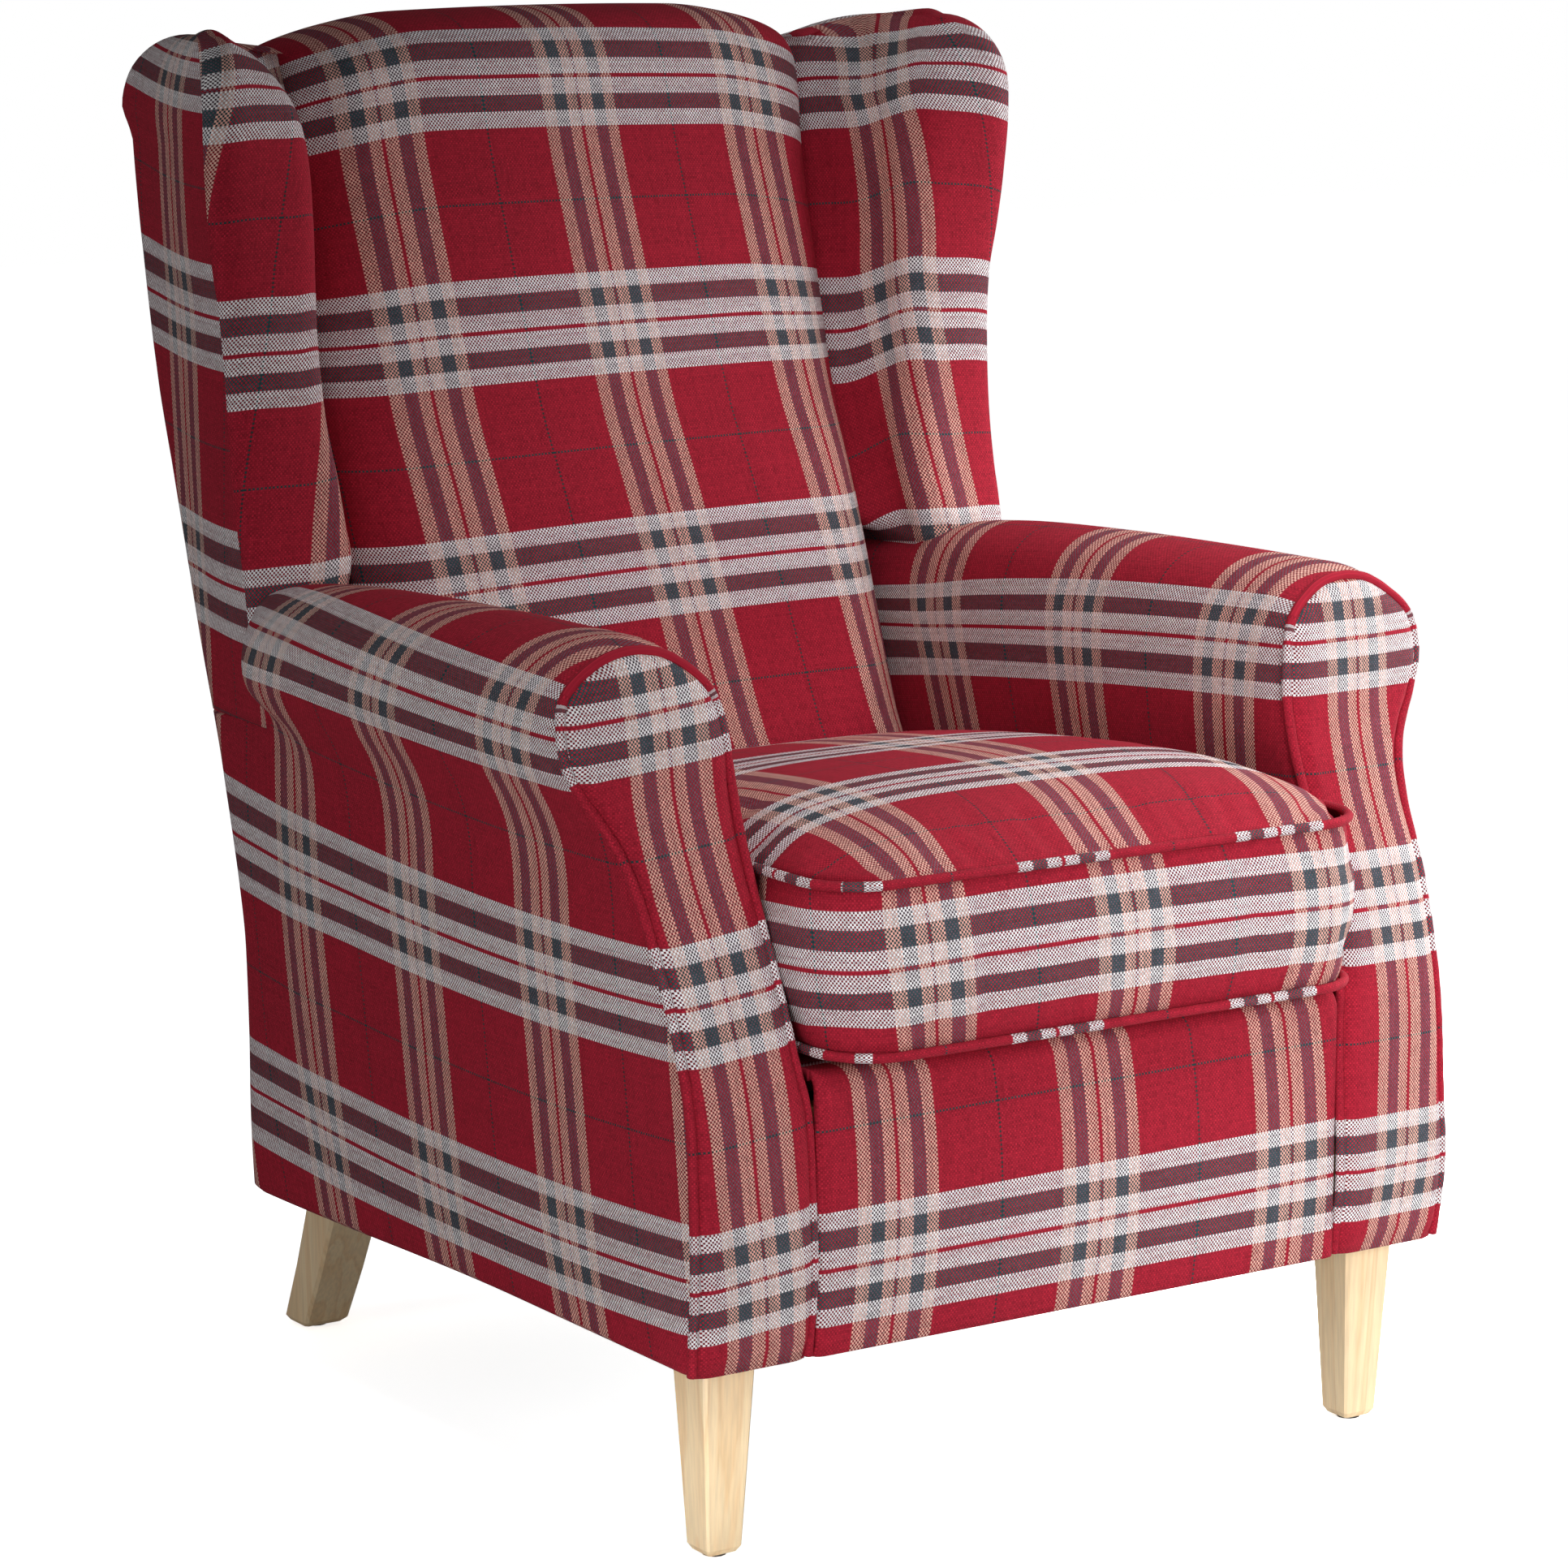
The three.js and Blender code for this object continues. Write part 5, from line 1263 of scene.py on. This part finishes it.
def swell(piece, seams, frames=20, most=9.0):
    """Cloth simulation: air pressure rounds the cushion between its held seams and the deck."""
    mesh = piece.data
    start = np.array([v.co[:] for v in mesh.vertices])
    places = (start - (0, SHIFT, 0)) / MM
    gap = np.array([np.linalg.norm(seams - p, axis=1).min() for p in places])
    held = piece.vertex_groups.new(name="held")
    held.add([int(i) for i in np.where((gap < 0.6) | (places[:, 2] < SEAM_LOW - 1))[0]], 1.0, "REPLACE")
    cloth = piece.modifiers.new("swell", "CLOTH")
    cloth.settings.quality = 6
    cloth.settings.mass = 0.3
    cloth.settings.bending_stiffness = 0.4
    cloth.settings.shrink_min = -0.025
    cloth.settings.use_pressure = True
    cloth.settings.uniform_pressure_force = 4.0
    cloth.settings.vertex_group_mass = "held"
    cloth.settings.effector_weights.gravity = 0
    cloth.collision_settings.use_collision = False
    for frame_number in range(1, frames + 1):
        bpy.context.scene.frame_set(frame_number)
    result = piece.evaluated_get(bpy.context.evaluated_depsgraph_get())
    moved = (np.array([v.co[:] for v in result.data.vertices]) - start) / MM
    piece.modifiers.remove(cloth)
    bpy.context.scene.frame_set(1)
    size = np.maximum(np.linalg.norm(moved, axis=1), 1e-9)
    moved *= (most * np.tanh(size / most) / size)[:, None]
    mesh.vertices.foreach_set("co", (start + moved * MM).reshape(-1))
    mesh.update()


def cushion_loop(side, forward, back, count_x=NX, count_y=NY):
    """Closed outline from the middle of the front left corner, counter-clockwise from above."""
    right, front, rear = HALF + side, FRONT - forward, REAR + back

    def corner(cx, cy, radius, start):
        """Half of a corner's arc, up to or from its middle."""
        turns = [math.radians(angle) for angle in np.linspace(start, start + 45, 8)]
        return [(cx + radius * math.cos(turn), cy + radius * math.sin(turn)) for turn in turns]

    # each side of the outline from the middle of one corner to the middle of the next
    near_x, far_x = right - NEAR_CORNER, right - FAR_CORNER
    near_y, far_y = front + NEAR_CORNER, rear - FAR_CORNER
    ends = [((-near_x, near_y, NEAR_CORNER, 225), (near_x, near_y, NEAR_CORNER, 270), count_x),
            ((near_x, near_y, NEAR_CORNER, 315), (far_x, far_y, FAR_CORNER, 0), count_y),
            ((far_x, far_y, FAR_CORNER, 45), (-far_x, far_y, FAR_CORNER, 90), count_x),
            ((-far_x, far_y, FAR_CORNER, 135), (-near_x, near_y, NEAR_CORNER, 180), count_y)]
    return np.vstack([spread(np.array(corner(*a) + corner(*b)), count + 1)[:-1] for a, b, count in ends])


def coons(loop):
    """Grid that fills a closed loop of 2 * (NX + NY) points."""
    south = loop[:NX + 1]
    east = loop[NX:NX + NY + 1]
    north = loop[NX + NY:2 * NX + NY + 1][::-1]
    west = np.vstack([loop[2 * NX + NY:], loop[:1]])[::-1]
    s, t = np.meshgrid(np.linspace(0, 1, NX + 1), np.linspace(0, 1, NY + 1))
    s, t = s[..., None], t[..., None]
    sides = (1 - t) * south[None] + t * north[None] + (1 - s) * west[:, None] + s * east[:, None]
    return (sides - (1 - s) * (1 - t) * south[0] - s * (1 - t) * south[-1]
            - (1 - s) * t * north[0] - s * t * north[-1])


def plump(points, half, front, rear, power):
    """0 at the outline and near 1 in the middle, as a filled cover rises; a higher power is flatter."""
    middle, reach = (front + rear) / 2, (rear - front) / 2
    x = np.clip(1 - np.abs(points[..., 0]) / half, 0, 1)
    y = np.clip(1 - np.abs(points[..., 1] - middle) / reach, 0, 1)
    return (1 - (1 - x) ** power) ** .6 * (1 - (1 - y) ** power) ** .6


def cushion_grids():
    """Top, wall and underside."""
    top, under = coons(cushion_loop(UPPER_OUT, -UPPER_OUT, 0)), coons(cushion_loop(0, 0, 0))
    rise = plump(top, HALF + UPPER_OUT, FRONT + UPPER_OUT, REAR, 3.2)
    crown = CROWN - SEAM_HIGH - 26 * worn(top[..., 1])
    top = np.concatenate([top, (seam_height(top) + crown * rise)[..., None]], -1)
    fall = (SEAM_LOW - BOTTOM - 0.4) * plump(under, HALF, FRONT, REAR, 6)
    under = np.concatenate([under, (SEAM_LOW - fall)[..., None]], -1)
    wall = []
    for t in np.linspace(0, 1, 13):
        bulge = BULGE * math.sin(math.pi * t) ** .7 if 0 < t < 1 else 0.0
        loop = cushion_loop(bulge + UPPER_OUT * t, bulge - UPPER_OUT * t, .75 * bulge)
        # the wall's own seam is at the rear
        loop = np.roll(loop, -(NX + NY + NX // 2), axis=0)
        wall.append(np.column_stack([loop, lerp(SEAM_LOW, seam_height(loop), t)]))
    wall = np.array(wall)
    return top, np.concatenate([wall, wall[:, :1]], axis=1), under


def make_cushion():
    top, wall, under = cushion_grids()
    cloth_top = cloth_of("cushion_top", top[..., 0], top[..., 1], top)
    across = length_along(wall[0])
    across -= across[NX + NY]
    cloth_wall = cloth_of("cushion_boxing", across[None, :], wall[..., 2], wall)
    cloth_under = cloth_of("cushion_under", under[..., 0], under[..., 1], under)
    grids = [(top, cloth_top), (wall, cloth_wall), (under, cloth_under)]
    piece = weld_piece("loose_cushion", grids, (0, -150, 430))
    outward(piece)
    high, low = cushion_loop(UPPER_OUT, -UPPER_OUT, 0), cushion_loop(0, 0, 0)
    swell(piece, np.vstack([np.column_stack([high, seam_height(high)]),
                            np.column_stack([low, np.full(len(low), SEAM_LOW)])]))
    finish_piece(piece, TARTAN, "tartan_cloth", "seat_cushion", "seat_cushion", smooth_levels=1)
    for name, out in (("top", UPPER_OUT), ("bottom", 0.0)):
        loop = cushion_loop(out + CORD_OUT, CORD_OUT - out, CORD_OUT, 90, 104)
        height = seam_height(loop) if name == "top" else np.full(len(loop), SEAM_LOW)
        tube_piece("cushion_" + name + "_cord", np.column_stack([loop, height]), CORD_RADIUS, "cord_" + name,
                   "seat_cushion", ["cushion_piping_" + name], closed=True)


make_arms()
make_facings()
make_wings()
make_inside_back()
make_outside_back()
make_apron()
make_deck()
make_lining()
make_cushion()


# Camera, light and floor
def area(name, place, aim, power, spread_angle=180, size=1.0):
    """Round area light at a place, turned towards another, that the camera doesn't see."""
    light = bpy.data.lights.new(name, "AREA")
    light.shape, light.size, light.energy, light.spread = "DISK", size, power, math.radians(spread_angle)
    holder = bpy.data.objects.new(name, light)
    bpy.context.scene.collection.objects.link(holder)
    holder.location = place
    x, y, z = np.array(aim) - np.array(place)
    holder.rotation_euler = (math.atan2(math.hypot(x, y), -z), 0, math.atan2(-x, y))
    holder.visible_camera = False


def make_camera():
    camera = bpy.data.objects.new("camera", bpy.data.cameras.new("camera"))
    bpy.context.scene.collection.objects.link(camera)
    x, y, z = (value * MM for value in CAMERA_PLACE)
    camera.location = (x, y + SHIFT, z)
    camera.rotation_euler = (math.radians(90 - CAMERA_TILT), 0, math.radians(CAMERA_TURN))
    camera.data.lens = CAMERA_LENS
    camera.data.sensor_width = SENSOR
    bpy.context.scene.camera = camera


def make_lights():
    """Soft beams on the lower right, and low fill from both sides."""
    middle, low_right, leg = (0, -.05, .5), (.38, -.3, .35), (-.29, -.38, .06)
    area("beam_high_left", (-.37, -1.42, 2.19), low_right, 1.53, 50)
    area("beam_front", (0, -2.2, .96), low_right, 2.46, 50)
    area("beam_low_left", (-1.54, -1.59, .3), low_right, 1.28, 50)
    area("beam_high_right", (1.41, -.05, 2.19), low_right, 3.2, 50)
    area("leg_spot", (-1.1, -1.15, .09), leg, .05, 13, .12)
    area("fill_left", (-3.37, -.05, .55), middle, 13.1)
    area("fill_right", (1.34, -.41, .55), middle, 13.5)


def make_world():
    """White where the camera looks at it, and a faint even light for the rest."""
    world = bpy.data.worlds.new("studio")
    bpy.context.scene.world = world
    t = Tree(world)
    soft = t.nodes["Background"]
    t.feed(soft.inputs[0], (1, 1, 1, 1))
    t.feed(soft.inputs[1], 0.13)
    seen = t.put("ShaderNodeBackground", {0: (1, 1, 1, 1), 1: 1.0})
    path = t.put("ShaderNodeLightPath")
    straight = t.math("MAXIMUM", path.outputs["Is Camera Ray"], path.outputs["Is Transmission Ray"])
    mix = t.put("ShaderNodeMixShader", {0: straight, 1: soft.outputs[0], 2: seen.outputs[0]})
    t.links.new(mix.outputs[0], t.nodes["World Output"].inputs[0])


def make_floor(half=9.0, count=24):
    """Wide pale plane whose lit colour goes to white, so that only the shadow shows."""
    mesh = bpy.data.meshes.new("floor")
    line = np.linspace(-half, half, count + 1)
    verts = [(x, y, 0) for y in line for x in line]
    starts = [j * (count + 1) + i for j in range(count) for i in range(count)]
    mesh.from_pydata(verts, [], [(k, k + 1, k + count + 2, k + count + 1) for k in starts])
    floor = bpy.data.objects.new("floor", mesh)
    bpy.context.scene.collection.objects.link(floor)
    t = Tree(bpy.data.materials.new("pale_floor"))
    noise = t.put("ShaderNodeTexNoise", {"Scale": 40.0, "Detail": 2.0}).outputs[0]
    pale = t.ramp(noise, [(0.3, (0.80, 0.80, 0.80, 1)), (0.7, (0.82, 0.82, 0.82, 1))])
    floor.data.materials.append(t.settle(Base_Color=pale, Roughness=0.7, Specular_IOR_Level=0.1))
    glow = t.put("ShaderNodeEmission", {"Color": (1, 1, 1, 1), "Strength": 0.70}).outputs[0]
    seen = t.put("ShaderNodeBsdfDiffuse", {"Color": (2.4, 2.4, 2.4, 1)}).outputs[0]
    bright = t.put("ShaderNodeAddShader", {0: seen, 1: glow}).outputs[0]
    ray = t.put("ShaderNodeLightPath").outputs["Is Camera Ray"]
    plain_look = t.nodes["Principled BSDF"].outputs[0]
    choose = t.put("ShaderNodeMixShader", {0: ray, 1: plain_look, 2: bright})
    t.links.new(choose.outputs[0], t.nodes["Material Output"].inputs[0])


make_camera()
make_lights()
make_world()
make_floor()
bpy.context.scene.view_settings.view_transform = "Standard"
